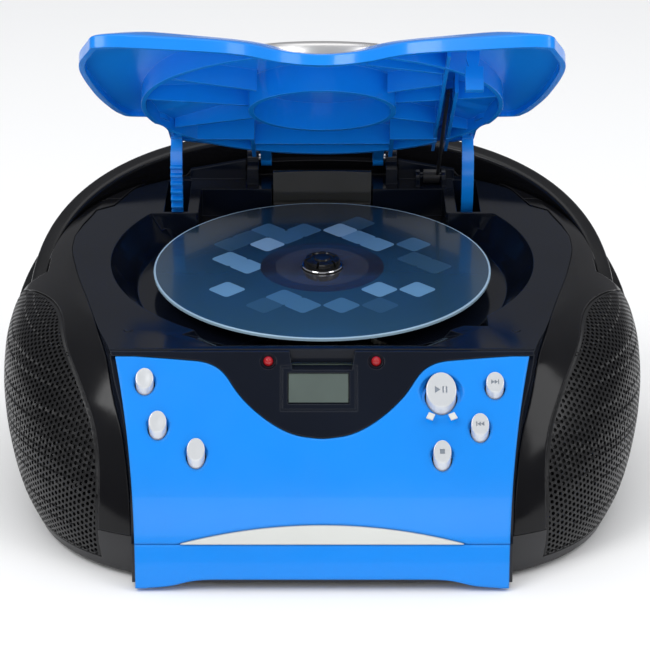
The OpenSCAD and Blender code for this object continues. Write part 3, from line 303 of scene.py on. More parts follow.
ISL = [(-66.4,75),(-66,66.8),(-51.3,66),(-39.6,65.2),(-36.3,64.5),(-33.2,63.1),(-30.8,61),(-27.4,56.6),(-22.9,52.6),(-16.2,48.1),(-8.9,45),(-1,44.2)]
def island(o=0.0):
    h = [(p[0]-o, p[1]-o) for p in ISL]
    return facing(rounded(h+[(-x, z) for x, z in h[::-1]], 2.0), -110, -50)
def leaf(o, x0, x1, bottom=3.0):
    a = along_x([(y, z) for y, z in circ(64+o, 200, -23.7, 6.5)], x0, x1)
    return inter(a, along_x(circ(72+o, 200, -62, 50), x0-1, x1+1), box(x0-2, -120, bottom-o, x1-x0+4, 160, 90))
def opening(o=0.0): return sub(leaf(o, 60, 125), console(5-o))
HT, HP_Y, HP_Z, HA, HTK, HB2 = 22.0, 10.0, 56.5, 104.8, 6.0, 7.0
HM = T(0, HP_Y, HP_Z) @ RX(HT)
def hout(o, n=120):
    P = []
    for i in range(n+1):
        f = pi*i/n; a, b = HA-o, (92-o)/cos(rad(HT)); c, s = cos(f), sin(f)
        r = (abs(c/a)**2.4+abs(s/b)**2.4)**(-1/2.4); P.append((r*c, max(r*s, 0.0)))
    return P
def rebate(g=0.0):
    a = xf(box(-150, 0, -HB2-0.6-g, 300, 150, 60), HM)
    w = HA-HTK-0.8-g
    a = sub(a, xf(prism([(w,-1)]+hout(HTK+0.8+g)+[(-w,-1)], -40, 80), HM))
    for s in (1, -1):
        x0 = HA-7.8-g
        c = xf(prism(circ(8.4+g, 64), 0, 137.8-HA+g), T(x0, HP_Y, HP_Z) @ RY(90))
        c = uni(c, box(x0, HP_Y-8.4-g, HP_Z, 137.8-HA+g, 12+g, 40))
        if s < 0: xf(c, MIR)
        a = uni(a, c)
    return a

shell = sub(body(0), body(WALL, WALL))
collar = inter(body(0.01), rebate(2))
upper = uni(shell, collar)
R = inter(copy(upper), box(40, -150, SEAM+GAP, 120, 212, 100))
R = sub(R, console(GAP), opening(0.1), rebate(0), xf(prism(circ(3, 48), 0, 30), T(80, HP_Y, HP_Z) @ RY(90)))
# baffle that carries the woofer
SF = T(86, -43, 36) @ RZ(-30) @ RY(90)
baf = xf(sub(prism(circ(38, 96), -2.1, -0.1), prism(circ(25.3, 64), -4, 2)), SF)
baf = sub(inter(baf, body(1.9, 1.9), box(0, -150, SEAM+GAP, 150, 300, 100)), console(GAP))
R = uni(R, baf)
# dark lining behind the grille, open for the woofer
ln = inter(sub(body(2.1), body(3.0, 3.0)), leaf(3, 40, 130, 1))
ln = sub(ln, xf(cyl(36.5, 60, 96, -10), SF), console(GAP), rebate(0), xf(prism(circ(3, 48), 0, 30), T(80, HP_Y, HP_Z) @ RY(90)))
R = uni(R, inter(copy(ln), box(40, -150, SEAM+GAP, 120, 212, 100)))
ln = inter(ln, box(40, -150, 1.2, 120, 300, SEAM-1.2))
Lf = xf(copy(R), MIR)
done(R, "vis_side_shell_right", M["black_gloss"], "cabinet", ["side_shell_right"], ang=28)
done(Lf, "vis_side_shell_left", M["black_gloss"], "cabinet", ["side_shell_left"], ang=28)

lip = xf(sub(prism([(97,-1)]+hout(HTK+1.4)+[(-97,-1)], -14, -1.6), prism([(w_, -1) for w_ in (HA-HTK-3.6,)]+hout(HTK+3.6)+[(-(HA-HTK-3.6),-1)], -20, 20)), HM)
lip = inter(lip, box(-58, 76, 60, 116, 60, 60))
rc = inter(upper, box(-150, 62+GAP, SEAM+GAP, 300, 80, 100))
rc = uni(sub(rc, rebate(0)), lip)
rc = sub(rc, console(GAP), box(-62, 88, 26, 24.4, 30, 14.4), xf(prism(circ(4.2, 48), 0, 30), T(52, 110, 32) @ RX(90)),
         box(16, 90, 25.5, 22, 30, 3.2), box(-20, 90, 30, 14, 30, 5))
rc = uni(rc, box(24, 93, 22.6, 6, 9.4, 2.2))
for i in range(9): rc = sub(rc, prism(rounded([(-16+i*4-0.8+0.8,90),(-16+i*4+1.6,90),(-16+i*4+1.6,120),(-16+i*4,120)], 0.1), 48, 62))
rc = uni(rc, T and xf(prism(circ(1.5, 40), 0, 7.0), T(27, 95, 22.6)))
done(rc, "vis_rear_cover", M["black_gloss"], "cabinet", ["rear_cover"], ang=28)

lc = inter(sub(body(0), body(WALL, 2.4)), box(-150, -150, -5, 300, 300, SEAM+5))
op = opening(0.1); lc = sub(lc, copy(op), xf(op, MIR))
lc = uni(lc, copy(ln), xf(ln, MIR))
lc = sub(lc, inter(band(-6, 2.4, -2, 20, 80), box(-61.6, -120, -3, 123.2, 60, 24)))
FD = -STAND
foot_p = [(-70,-62),(70,-62),(-70,72),(70,72)]; screw_p = [(-78,-40),(78,-40),(-78,48),(78,48),(0,-70)]
cuts = [box(-50, 4, -1+FD, 100, 72, 8), xf(prism(circ(0.78, 24), -51.9, 51.9), T(0, 5.5, 3.1+FD) @ RY(90))]
cuts += [prism(circ(6.2, 48, *p), 1+FD, 3.2+FD) for p in foot_p]
cuts += [prism(circ(1.7, 32, *p), -1+FD, 8+FD) for p in screw_p]+[prism(circ(3.3, 40, *p), 1+FD, 3.6+FD) for p in screw_p]
cuts += [box(i*9-1.2, -50, FD, 2.4, 30, 8) for i in range(-3, 4)]
lc = sub(lc, *cuts)
pl = uni(band(2.6, 5, 0.01, SEAM-0.1, 80), inter(band(2.6, 16, 0, SEAM-0.1, 80), box(-90, -120, 0, 180, 60, 2.4)),
         inter(band(2.6, 14, 0.01, SEAM-0.1, 80), sub(console(0), console(-2))))
pl = inter(pl, console(-0.01))
lc = uni(lc, pl, sub(box(-54, -1, 4.2+FD, 108, 82, 30), box(-52, 1, FD, 104, 78, 32.2)))
for p in screw_p: lc = uni(lc, sub(prism(circ(4, 40, *p), 4+FD, 11.8+FD), prism(circ(1.7, 32, *p), 3+FD, 12+FD)))
for x in (-50, 50): lc = uni(lc, sub(prism(circ(3.2, 32, x, -12), 2, 13), prism(circ(1.2, 24, x, -12), 4, 16)))
lc = uni(lc, *[box(x-2, -55, 2, 4, 6, 11) for x in (-52, 52)], *[box(p[0], p[1], 2, 4, 4, 11) for p in ((-87,22),(-65,22),(-87,48),(-65,48))])
done(lc, "vis_lower_cabinet", M["cabinet_grey"], "cabinet", ["lower_cabinet"], ang=28)

# ---------------------------------------------------------------- speaker grilles, with their holes
def arc_table(fn, a, b, n=400):
    t = np.linspace(a, b, n+1); P = np.array([fn(q) for q in t]); s = np.concatenate([[0], np.cumsum(np.linalg.norm(np.diff(P, axis=0), axis=1))])
    return t, s
tf, sf = arc_table(lambda q: spt(36, q), rad(-100), rad(60))
s0 = np.interp(0.0, tf, sf)
tz, sz = arc_table(lambda z: spt(z, rad(-25)), 0.0, TOP)
v0 = np.interp(36.0, tz, sz)
def guv(u, v, d=0.0):
    f = float(np.interp(u+s0, sf, tf)); z = float(np.interp(v+v0, sz, tz))
    p = np.array(spt(z, f))
    if d == 0: return p
    e = 1e-3
    a = np.array(spt(z, f+e))-np.array(spt(z, f-e)); b = np.array(spt(min(z+0.05, TOP), f))-np.array(spt(z-0.05, f))
    n = np.cross(a, b); n /= np.linalg.norm(n)
    return p-n*d
def grille():
    pitch, rh, NS = 2.05, 0.68, 12
    du = pitch*math.sqrt(3)/2
    hexr = pitch/math.sqrt(3)
    verts2, key, faces = [], {}, []
    def vid(u, v):
        k = (round(u*500), round(v*500))
        if k not in key: key[k] = len(verts2); verts2.append((u, v))
        return key[k]
    for i in range(-75, 40):
        for j in range(-40, 40):
            u, v = i*du, j*pitch+(pitch/2 if i % 2 else 0)
            f = np.interp(u+s0, sf, tf)
            if v+v0 < 1.5 or v+v0 > sz[-1]-6 or u+s0 < 1 or u+s0 > sf[-1]-1: continue
            p = guv(u, v)
            if not ((p[1]+23.7)**2+(p[2]-6.5)**2 < 67**2 and (p[1]+62)**2+(p[2]-50)**2 < 75**2 and p[2] > 0.5 and p[0] > 58): continue
            o = []; h = []
            for k in range(NS):
                a = 2*pi*k/NS
                r = hexr if k % 2 == 0 else hexr*cos(pi/6)
                o.append(vid(u+r*cos(a), v+r*sin(a)))
                verts2.append((u+rh*cos(a), v+rh*sin(a))); h.append(len(verts2)-1)
            for k in range(NS):
                k2 = (k+1) % NS; faces.append((o[k], o[k2], h[k2], h[k]))
    n = len(verts2)
    V = [guv(u, v, -0.02) for u, v in verts2]+[guv(u, v, 0.85) for u, v in verts2]
    edges = {}
    for f in faces:
        for a, b in zip(f, f[1:]+f[:1]): edges[(a, b)] = 1
    F = list(faces)+[tuple(n+k for k in f[::-1]) for f in faces]
    for (a, b) in edges:
        if (b, a) not in edges: F.append((b, a, a+n, b+n))
    return fixn(raw(V, F))
g = grille()
g = inter(g, opening(-GAP))
g = sub(g, rebate(0))
# solid rim that frames the perforated sheet
rim = inter(sub(body(0), body(1.5, 1.5)), sub(opening(-GAP), leaf(-0.4, 50, 130, 3.0)))
rim = sub(rim, rebate(0))
g = uni(g, rim)
gl = xf(copy(g), MIR)
done(g, "vis_speaker_grille_right", M["grille_black"], "cabinet", ["speaker_grille_right"], ang=40)
done(gl, "vis_speaker_grille_left", M["grille_black"], "cabinet", ["speaker_grille_left"], ang=40)

# ---------------------------------------------------------------- front
KEYS = [(-57.7,59.2),(-53.2,47.3),(-40.7,39.5),(38.6,56),(56.1,58.1),(51,46.6),(38.7,38.9)]
KN = ["bass", "repeat", "program", "play", "next", "back", "stop"]
KR = [2.9, 2.9, 2.9, 4.9, 2.9, 2.9, 2.9]
def KF(i): return T(KEYS[i][0], prof(KEYS[i][1]), KEYS[i][1]) @ RX(18)
def slope(z): return math.degrees(math.atan2(1.0, 0.0363*1.63*z**0.63))     # face's lean from level
def crescent(o=0.0):
    R0 = 190+o; zc = 19.3-190
    a = math.acos((13.75-o-zc)/R0)
    P = [(R0*sin(-a+2*a*k/80), zc+R0*cos(-a+2*a*k/80)) for k in range(81)]
    return facing(P, -125, -60)
fp = inter(band(0, 2, 13.6, 66.3, 80, 60), trap(13.6, 66.3))
fp = sub(fp, island(GAP), crescent(0.15))
for i in range(7):
    fp = sub(fp, xf(cyl(KR[i]+0.45, 30, 64, -15), KF(i)))
    # dished seat round each key
    lean = RX(90-slope(KEYS[i][1])-18)
    if i == 3:
        fp = sub(fp, xf(lathe([(0,-0.9),(6.2,-0.9),(7.3,0.25),(7.3,5),(0,5)], 72), KF(i) @ lean))
    else:
        fp = sub(fp, xf(lathe([(0,-0.55),(3.35,-0.55),(3.95,0.25),(3.95,4),(0,4)], 64), KF(i) @ lean))
done(fp, "vis_front_panel", M["panel_blue"], "cabinet", ["front_panel"], ang=24)
# four bars of the play key's ring
kl = KF(3) @ RX(90-slope(56)-18)
tk = None
for a in (66, 114, 246, 294):
    pr = [(r*cos(rad(a+d)), r*sin(rad(a+d))) for r, d in ((7.7,-8),(10.0,-6.5),(10.0,6.5),(7.7,8))]
    b = xf(prism(pr, -0.4, 0.16), kl)
    tk = b if tk is None else uni(tk, b)
done(tk, "vis_play_ticks", M["cream_silver"], "cabinet", [])
ct = inter(band(-0.55, 1.8, 13.65, 21, 48, 30), crescent(0))
done(ct, "vis_crescent_trim", M["cream_silver"], "cabinet", ["crescent_trim"], ang=24)
lt = inter(band(0, 2, -0.8, 13.35, 80, 24), trap(-0.8, 13.35))
arch = [(62,-3),(58,-0.72),(53,-0.45),(49,0.0),(46,0.7),(43,1.55),(40,2.0),(36,2.2)]
lt = sub(lt, facing(rounded([(62,-6)]+arch+[(-x, z) for x, z in arch[::-1]]+[(-62,-6)], 1.5), -125, -60))
done(lt, "vis_lower_trim", M["panel_blue"], "cabinet", ["lower_trim"], ang=24)

# keys: plunger, stem and a rounded cap cut to the panel's slope
KQ = 50.0
def key_mesh(i):
    r = KR[i]; x, z = KEYS[i]; y = prof(z); c, s = cos(rad(18)), sin(rad(18))
    px, py, pz = x, y*c+z*s, -y*s+z*c
    tilt = 90-slope(z)-18
    tilt = (40+(33-40)*(min(max(z, 40), 60)-40)/20)
    n = 64; f = 0.32; R = []
    def top(xx, yy): return 2.0/cos(rad(tilt))+yy*tan(rad(tilt))
    prof_r = [(1.0, -f)]+[(1-(f/r)*(1-cos(pi/2*k/5)), -f*(1-sin(pi/2*k/5))) for k in range(1, 6)]+[(0.6, -0.02), (0.3, -0.10), (0.08, -0.13)]
    low = [(r*cos(2*pi*k/n), r*sin(2*pi*k/n), -5.0) for k in range(n)]
    R.append(low)
    for q, dz in prof_r:
        R.append([(r*q*cos(2*pi*k/n), r*q*sin(2*pi*k/n), top(0, r*q*sin(2*pi*k/n))+dz) for k in range(n)])
    o = fixn(rings(R))
    o = uni(o, prism(circ(1.6, 32), KQ+5.2-pz, -4.5))
    # generic transport marks, engraved
    MK = {"play": [[(-2.1,-1.2),(-2.1,1.2),(-0.3,0)],[(0.35,-1.1),(0.35,1.1),(0.85,1.1),(0.85,-1.1)],[(1.45,-1.1),(1.45,1.1),(1.95,1.1),(1.95,-1.1)]],
          "next": [[(-1.3,-0.8),(-1.3,0.8),(-0.2,0)],[(-0.2,-0.8),(-0.2,0.8),(0.9,0)],[(0.95,-0.8),(0.95,0.8),(1.3,0.8),(1.3,-0.8)]],
          "back": [[(1.3,-0.8),(1.3,0.8),(0.2,0)],[(0.2,-0.8),(0.2,0.8),(-0.9,0)],[(-0.95,-0.8),(-0.95,0.8),(-1.3,0.8),(-1.3,-0.8)]],
          "stop": [[(-0.8,-0.8),(-0.8,0.8),(0.8,0.8),(0.8,-0.8)]]}
    mk = None
    if KN[i] in MK:
        pl_m = T(0, 0, 2.0/cos(rad(tilt))) @ RX(tilt)
        for pts in MK[KN[i]]:
            q = xf(prism(pts, -0.32, 1.5), pl_m)
            o = sub(o, q)
            q = xf(prism(pts, -0.9, -0.25), pl_m)
            mk = q if mk is None else uni(mk, q)
    m = RX(18) @ T(px, py, pz)
    xf(o, m)
    done(o, "vis_key_"+KN[i], M["key_silver"], "key_"+KN[i], ["key_"+KN[i]], ang=30)
    if mk is not None:
        xf(mk, m); done(mk, "vis_mark_"+KN[i], M["key_mark"], "key_"+KN[i], [], ang=30)
for i in range(7): key_mesh(i)
# ---------------------------------------------------------------- deck
DF = T(0, 9, 72) @ RX(6)
HY, HZ, OPEN, ARM, GA, SPY, SPZ = 82.0, 10.0, 35.8, 54.4, 28.0, 70.0, 7.0
LF = DF @ T(0, HY, HZ) @ RX(-OPEN) @ T(0, -HY, -HZ)
def well_row(z, o, side, n=360):
    P = []
    for i in range(n):
        f = 2*pi*(i+0.5)/n; c, s = cos(f), sin(f)
        r = 75+o+side
        if s < 0: r = min(r, (65+o+side)/-s)
        if s > 0: r = min(r, (40+o)/s)
        if s > 0: r = max(r, min((46+o)/max(abs(c), 1e-6), (64+o)/s))
        P.append((r*c, r*s, z))
    return P
def well(o, z0, top):
    """tapered bowl of the disc well; o grows it."""
    rows = [(z0, -9.2 if o == 0 else -7.5), (z0+0.5, -8.4 if o == 0 else -7.5), (z0+1.4, -7.7), (-2, -4.4), (2.2, -1.0), (3.2, -0.35), (3.8, 0.0), (top, 0.35 if o == 0 else 0.0)]
    return rings([well_row(z, o, sd) for z, sd in rows])
edge = mir2(half_line(0))
plate = xf(inter(prism(edge, 1.6, 4.0), box(-120, -67.2, 0, 240, 170, 8)), T(0, -9, 0))
dk = uni(plate, well(2, -9, 3.9))
for s in (1, -1): dk = uni(dk, box(s*ARM-6.6, 40.4, -11, 13.2, 33.8, 14.6))
# walls that stand behind the well
for s in (1, -1):
    w = along_x([(74.4,1.7),(76.6,1.7),(76.6,14),(74.4,14)], 29.2, 50.5)
    w = sub(w, xf(box(-40, -5, 0, 80, 10, 12), T(40, 75, 9.6) @ RY(10.5)))
    if s < 0: xf(w, MIR)
    dk = uni(dk, w)
bw = [(-18.6, 68.6), (-18.6, 64.3)]+[(-18.2+36.4*k/24, 65.6-1.3*(abs(k-12)/12)**2) for k in range(25)]+[(18.6, 64.3), (18.6, 68.6)]
dk = sub(dk, box(-19.2, 63.5, -8.6, 38.4, 5.5, 20))
rp = sub(prism(bw, -8.5, 10.6), box(-19, 62, -3.0, 38, 4.6, 1.9), box(-20, 66.8, -2, 40, 3, 13))
dk = uni(dk, *[uni(box(x, 66.5, 1, 1.6, 7, 6), xf(prism(circ(2.6, 32), 0, 1.6), T(x, 70, 7) @ RY(90))) for x in (35.6, 45.4)])
for s in (1, -1):
    x = s*26.5-2.2
    dk = uni(dk, box(x, 69, 1, 4.4, 8.2, 9), box(x, 69, 5.8, 4.4, 13, 4.2), xf(prism(circ(4.4, 48), 0, 4.4), T(x, HY, HZ) @ RY(90)))
BP = [(-40,-34),(40,-34),(-40,30),(40,30)]
for p in BP: dk = uni(dk, xf(cyl(2.4, 10.5, 32), T(p[0], p[1], -19)))
xf(dk, DF)
cons = inter(band(2.2, 4.2, SEAM+0.15, 67.4, 80), console(-0.01))
isl_b = inter(band(0, 3, 43.8, 67.6, 66), island(0), console(-0.6))
strip = inter(uni(band(2.2, 7, 63.5, 67.4, 90, 8), band(0.1, 7, 66.5, 67.7, 90, 4)), console(-0.01), box(-100, -110, 60, 200, 46, 9))
cheek = inter(band(2.2, 16, SEAM+0.15, 67.4, 80), sub(console(-0.01), console(-2)))
KR18 = RX(18)
posts = inter(xf(uni(*[xf(cyl(2.8, 40, 32), T(x, -60, KQ)) for x in (-30, 30)]), KR18), band(3, 60, 20, 67, 60))
dk = uni(dk, cons, strip, cheek, isl_b, posts)
dk = sub(dk, xf(well(0, -7, 30), DF))
# the deck dips to the well in front of the disc
def dip(x, a): return xf(along_x([(0,0.04),(60,-27.0),(60,30),(0,30)], -160, 160), T(x, -74.3, 4.0) @ RZ(a))
dk = sub(dk, xf(inter(dip(0, 0), dip(36, 40), dip(-36, -40)), DF))
dk = sub(dk, xf(cyl(17, 8, 72, -12), DF), xf(box(-11, -61, -12, 22, 55, 8), DF), xf(prism(circ(1.52, 32), 0, 80), DF @ T(-40, HY, HZ) @ RY(90)))
for s in (1, -1): dk = sub(dk, xf(box(s*ARM-4.4, 41.4, -13, 8.8, 31.9, 20), DF))
dk = sub(dk, xf(box(44.5, -58.5, -4, 11, 10, 12), DF), xf(box(44.5, -68, -4.2, 11, 20, 4), DF))
dk = sub(dk, facing([(-11.3,71),(11.3,71),(9.7,62.8),(-9.7,62.8)], -76, -67.5))
for s in (1, -1):
    dk = sub(dk, xf(cyl(1.75, 20, 40), T(s*17.6, -66, 62.3) @ RX(60)))
    dk = sub(dk, xf(lathe([(0,5.2),(2.3,5.2),(3.1,6.6),(3.1,9),(0,9)], 48), T(s*17.6, -66, 62.3) @ RX(60)))
dk = sub(dk, inter(band(-1, 6, 53.6, 62, 11.4), box(-11.2, -120, 40, 20, 60, 40)))
# shallow frame round the display
fr = sub(inter(band(-1, 0.12, 51.6, 64.0, 20), box(-13.6, -120, 40, 25.0, 60, 40)), inter(band(-2, 2, 52.2, 63.3, 20), box(-12.9, -130, 40, 23.6, 80, 40)))
dk = sub(dk, fr)
for i in range(7): dk = sub(dk, xf(cyl(KR[i]+0.6, 24, 40, -12), KF(i)))
dk = sub(dk, rebate(2.2))
for p in BP: dk = sub(dk, xf(cyl(0.9, 8, 24, -20), DF @ T(p[0], p[1], 0)))
# small pin marks on the rim
for s in (1, -1):
    dk = sub(dk, xf(sub(cyl(1.5, 2, 32, 3.6), cyl(1.05, 4, 32, 3), box(-3, 0.3, 3, 6, 4, 4)), DF @ T(s*64.5, -62.0, 0)))
dy, dz = HY-38*cos(rad(GA)), HZ-38*sin(rad(GA))
dk = uni(dk, xf(prism(circ(1.5, 40), 0, 12), DF @ T(-ARM-6, dy, dz) @ RY(90)), xf(prism(circ(1.5, 40), 0, 10.6), DF @ T(36, SPY, SPZ) @ RY(90)))
done(dk, "vis_deck_housing", M["deck_gloss"], "cabinet", ["deck_housing"], ang=26)

done(xf(rp, DF), "vis_well_rear_plate", M["well_satin"], "cabinet", [], ang=26)
# display glass, lamps
lw = inter(band(0.4, 1.6, 53.9, 61.7, 11, 16), box(-10.9, -120, 40, 19.4, 60, 40))
done(lw, "vis_lcd_window", M["lcd_glass"], "cabinet", ["lcd_window"])
ld = None
for s in (1, -1):
    l = xf(lathe([(0,1),(1.6,1),(1.6,5.4)]+[(1.6*cos(pi/2*k/8), 5.4+1.6*sin(pi/2*k/8)) for k in range(1, 8)]+[(0,7.0)], 40), T(s*17.6, -66, 62.3) @ RX(60))
    ld = l if ld is None else uni(ld, l)
done(ld, "vis_indicator_leds", M["lamp_red"], "cabinet", ["indicator_leds"], ang=50)

# ---------------------------------------------------------------- disc and spindle
def disc():
    rr = [7.5, 7.7, 11, 16.4, 16.6, 21.8, 22.0, 23.0, 59.1, 59.3, 59.8]
    top = [(r, 0.0) for r in rr]+[(60.0, -0.18), (60.0, -1.02), (59.8, -1.2)]
    bot = [(r, -1.2) for r in (58.6, 22, 7.7, 7.5)]
    o = lathe(top+bot, 192)
    xf(o, DF)
    done(o, "vis_compact_disc", None, "disc", ["compact_disc"], ang=40)
    for k in ("disc_print", "disc_rim", "disc_clear", "disc_ring", "chrome"): o.data.materials.append(M[k])
    inv = (T(0, 0, STAND) @ DF).inverted()
    nz = (DF.to_3x3() @ Vector((0, 0, 1)))
    for p in o.data.polygons:
        c = inv @ (Vector(p.center)*1000); r = math.hypot(c.x, c.y)
        if p.normal.dot(nz) < 0.5: p.material_index = 4 if p.normal.dot(nz) < -0.5 else 1
        else: p.material_index = 3 if r < 16.5 else 2 if r < 21.9 else 0 if r < 59.2 else 1
disc()
# own pattern of rounded tiles printed on the disc
P0, SQ = 9.4, 5.6
tiles = {"tile_a": [(2,0),(3,0),(3,1),(-2,2),(-2,3),(0,-3),(1,-4),(-4,1)], "tile_b": [(1,3),(1,4),(2,3),(-3,-1),(-3,-2),(-2,-3),(4,-1)],
         "tile_c": [(-1,4),(0,4),(3,-2),(3,-3),(-4,-1),(-1,-4),(4,2)], "tile_d": [(-1,-2),(-2,-1),(3,2),(0,3)]}
for tone, L in tiles.items():
    acc = None; lv = "abcd".index(tone[-1])
    for (a, b) in L:
        x, y = (a-b)*P0/1.414, (a+b)*P0/1.414
        if math.hypot(x, y)+SQ > 58.6 or math.hypot(x, y)-SQ < 20.0: continue
        sq = rounded([(x-SQ*1.22,y),(x,y-SQ*1.22),(x+SQ*1.22,y),(x,y+SQ*1.22)], 1.7, 6)
        q = prism(sq, 0.003+0.002*lv, 0.028+0.003*lv)
        acc = q if acc is None else uni(acc, q)
        for (a2, b2) in L:
            if (a2-a, b2-b) in ((1, 0), (0, 1)):
                x2, y2 = (a2-b2)*P0/1.414, (a2+b2)*P0/1.414
                if math.hypot(x2, y2)+SQ > 58.6 or math.hypot(x2, y2)-SQ < 20.0: continue
                g_ = math.degrees(math.atan2(y2-y, x2-x))
                acc = uni(acc, xf(box(0, -2.6, 0.003+0.002*lv, P0, 5.2, 0.025+0.001*lv), T(x, y, 0) @ RZ(g_)))
    acc = sub(acc, xf(cyl(22.05, 4, 96, -1), T(0, 0, 0)))
    done(xf(acc, DF), "vis_disc_"+tone, M[tone], "disc", [])
hub = lathe([(0,-24),(1,-24),(1,-9),(6,-9),(6,-4),(14.5,-3.4),(14.5,-1.22),(7.3,-1.22),(7.3,0.35),(6.6,0.6),(6.5,2.2),(6.1,3.1),(5.2,3.6),(4.4,3.6),(4.1,3.2),(3.0,3.2),(2.7,3.7),(0,3.75)], 72)
for k in range(6):
    hub = sub(hub, xf(box(4.0, -0.4, 1.4, 4, 0.8, 4), RZ(60*k+15)))
done(xf(hub, DF), "vis_turntable_hub", M["hub_black"], "disc", ["turntable_hub"], ang=30)
ch = lathe([(6.68,0.36),(7.28,0.36),(7.28,0.62),(7.1,0.85),(6.68,0.85)], 72)
done(xf(ch, DF), "vis_hub_ring", M["chrome"], "disc", [])

# ---------------------------------------------------------------- lid
HL = [(0,-53.6),(8,-55.2),(15.2,-58.8),(23.8,-66.2),(29,-69),(36.8,-71.4),(52.2,-74.6),(67.4,-77.4),(74.4,-76.2),(76.3,-69.5),(80,-58),(81,-47),(80.4,-32),(78.2,-8),(74,12),(70.6,19.6),(61.2,20.4),(58.6,23.8),(57,30),(56.9,57.6),(50.5,60.5),(40,66),(27,73.5),(14,77)]
FULL = rounded(HL+[(-x, y) for x, y in HL[:0:-1]], 2.2, 6)
LIN = [0, 3, 8, 16, 30, 46]; LFR = [8.8,9.9,11.4,13.6,15.8,16.9]; LRE = [12.4,13.2,14.3,15.4,16.6,17.2]; LTH = [0.5,1,1.5,1.8,2,2]
f_fr = pchip(list(zip(LIN, LFR))); f_re = pchip(list(zip(LIN, LRE))); f_th = pchip(list(zip(LIN, LTH)))
def lid_solid(k=0.0, zb=0.0):
    ins = [0, 0.12, 0.45, 1.0, 2, 3, 4.5, 6, 8, 10.5, 13, 16, 20, 25, 30, 36, 42, 46]
    rows = []
    def row(i, fz):
        P = []
        for (x, y) in FULL:
            t = (y+79)/156; l = math.hypot(x, y); q = 1-(i+2.2*k)/l
            P.append((x*q, y*q, fz(i, t)))
        return P
    rows.append(row(0, lambda i, t: zb))
    def top(i, t):
        z = f_fr(i)*(1-t)+f_re(i)*t-f_th(i)*k
        if i < 1.0: z -= 0.35*(1-i)**2 if k == 0 else 0
        return z
    rows += [row(i, top) for i in ins]
    return rings(rows)
ld_ = sub(lid_solid(0, 4.6), lid_solid(1, 4.0))
ld_ = inter(ld_, xf(box(-100, -10, 0, 200, 200, 20), T(0, -79, 4.6) @ RX(2.4)))
und = sub(cyl(26, 14, 96, 5), cyl(24.2, 16, 96, 4))
und = uni(und, sub(cyl(63.6, 12, 160, 6.3), cyl(62, 16, 160, 5)))
def rib(x0, y0, x1, y1, z=7.6, t=1.2):
    L_ = math.hypot(x1-x0, y1-y0)
    return xf(box(0, -t/2, z, L_, t, 11), T(x0, y0, 0) @ RZ(math.degrees(math.atan2(y1-y0, x1-x0))))
und = uni(und, rib(-62.4,-6.6,-24.2,2.0), rib(24.2,-1.6,62.4,-9.8), rib(-51,-31,-22.8,-17.2), rib(22.8,-15,41.4,-24), rib(15,-47,41.4,-36.8), rib(-53.4,30.2,-24.2,17.4), rib(24.2,17.4,42,25), rib(45,29,53.4,33))
und = uni(und, box(-48, 41.4, 6.2, 23, 1.5, 12), box(25, 41.4, 6.2, 23, 1.5, 12), box(-26, 48, 6.2, 52, 1.5, 12), box(-26.5, 42, 6.2, 1.5, 25.2, 12), box(25, 42, 6.2, 1.5, 25.2, 12),
          box(41.0, -60, 6.6, 1.2, 42, 11), *[box(x, -18, 6.6, 1.2, 78, 11) for x in (41.0, 45.8)], *[box(s*61-0.6, -58 if s < 0 else -52, 6.2, 1.2, 40, 11) for s in ()],
          *[box(s*ARM-2.2, 50.6, 9, 4.4, 4.6, 10) for s in (1, -1)])
# hook block with its stepped sides
hk = uni(facing([(44.6,17),(55.2,17),(54.0,10.5),(51.9,10.2),(51.9,6.8),(51.3,4.4),(50.8,3.6)] + [(48.6,3.6),(48.2,4.4),(47.4,6.8),(47.4,10.2),(45.6,10.5)], -57, -55.2), box(47, -57, -3.6, 6, 1.8, 8), box(47, -57, -3.6, 6, 3.4, 1.6))
und = uni(und, hk)
und = inter(und, lid_solid(0.5, -20))
arms = None
for s in (1, -1):
    x = s*21.5-2
    a = uni(xf(prism(circ(3.3, 48), 0, 4), T(x, HY, HZ) @ RY(90)), box(x, 66, 8, 4, 14, 4), box(x, 62, 8, 4, 8, 5))
    arms = a if arms is None else uni(arms, a)
for s in (1, -1):
    a0, a1 = 177.3, 250
    pts = [(30.9*cos(rad(a0+(a1-a0)*k/40)), 30.9*sin(rad(a0+(a1-a0)*k/40))) for k in range(41)]+[(27.6*cos(rad(a1-(a1-a0)*k/40)), 27.6*sin(rad(a1-(a1-a0)*k/40))) for k in range(41)]
    g2 = along_x(pts, -2.2, 2.2)
    if s < 0:
        t = (pi/2-0.3)/2
        for k in range(9):
            an = rad(OPEN+GA+180/64-k*360/64); c, s_ = cos(an), sin(an)
            q = [(-30.4,-t-0.4),(-32,-t),(-32.8,-t+0.3),(-32.8,t-0.3),(-32,t),(-30.4,t+0.4)]
            g2 = uni(g2, along_x([(px*c-py*s_, px*s_+py*c) for px, py in q], -2.2, 2.2))
    g2 = xf(g2, T(s*ARM, HY, HZ))
    g2 = inter(g2, uni(lid_solid(0.3, 0), box(-100, -100, -60, 200, 300, 64.6)))
    arms = uni(arms, g2)
ld_ = uni(ld_, und, arms)
ld_ = sub(ld_, xf(prism(circ(1.58, 32), 0, 80), T(-40, HY, HZ) @ RY(90)), box(42.4, -18, 3, 3.2, 84, 8.6))
done(xf(ld_, LF), "vis_lid", M["blue_gloss"], "lid", ["lid"], ang=26)
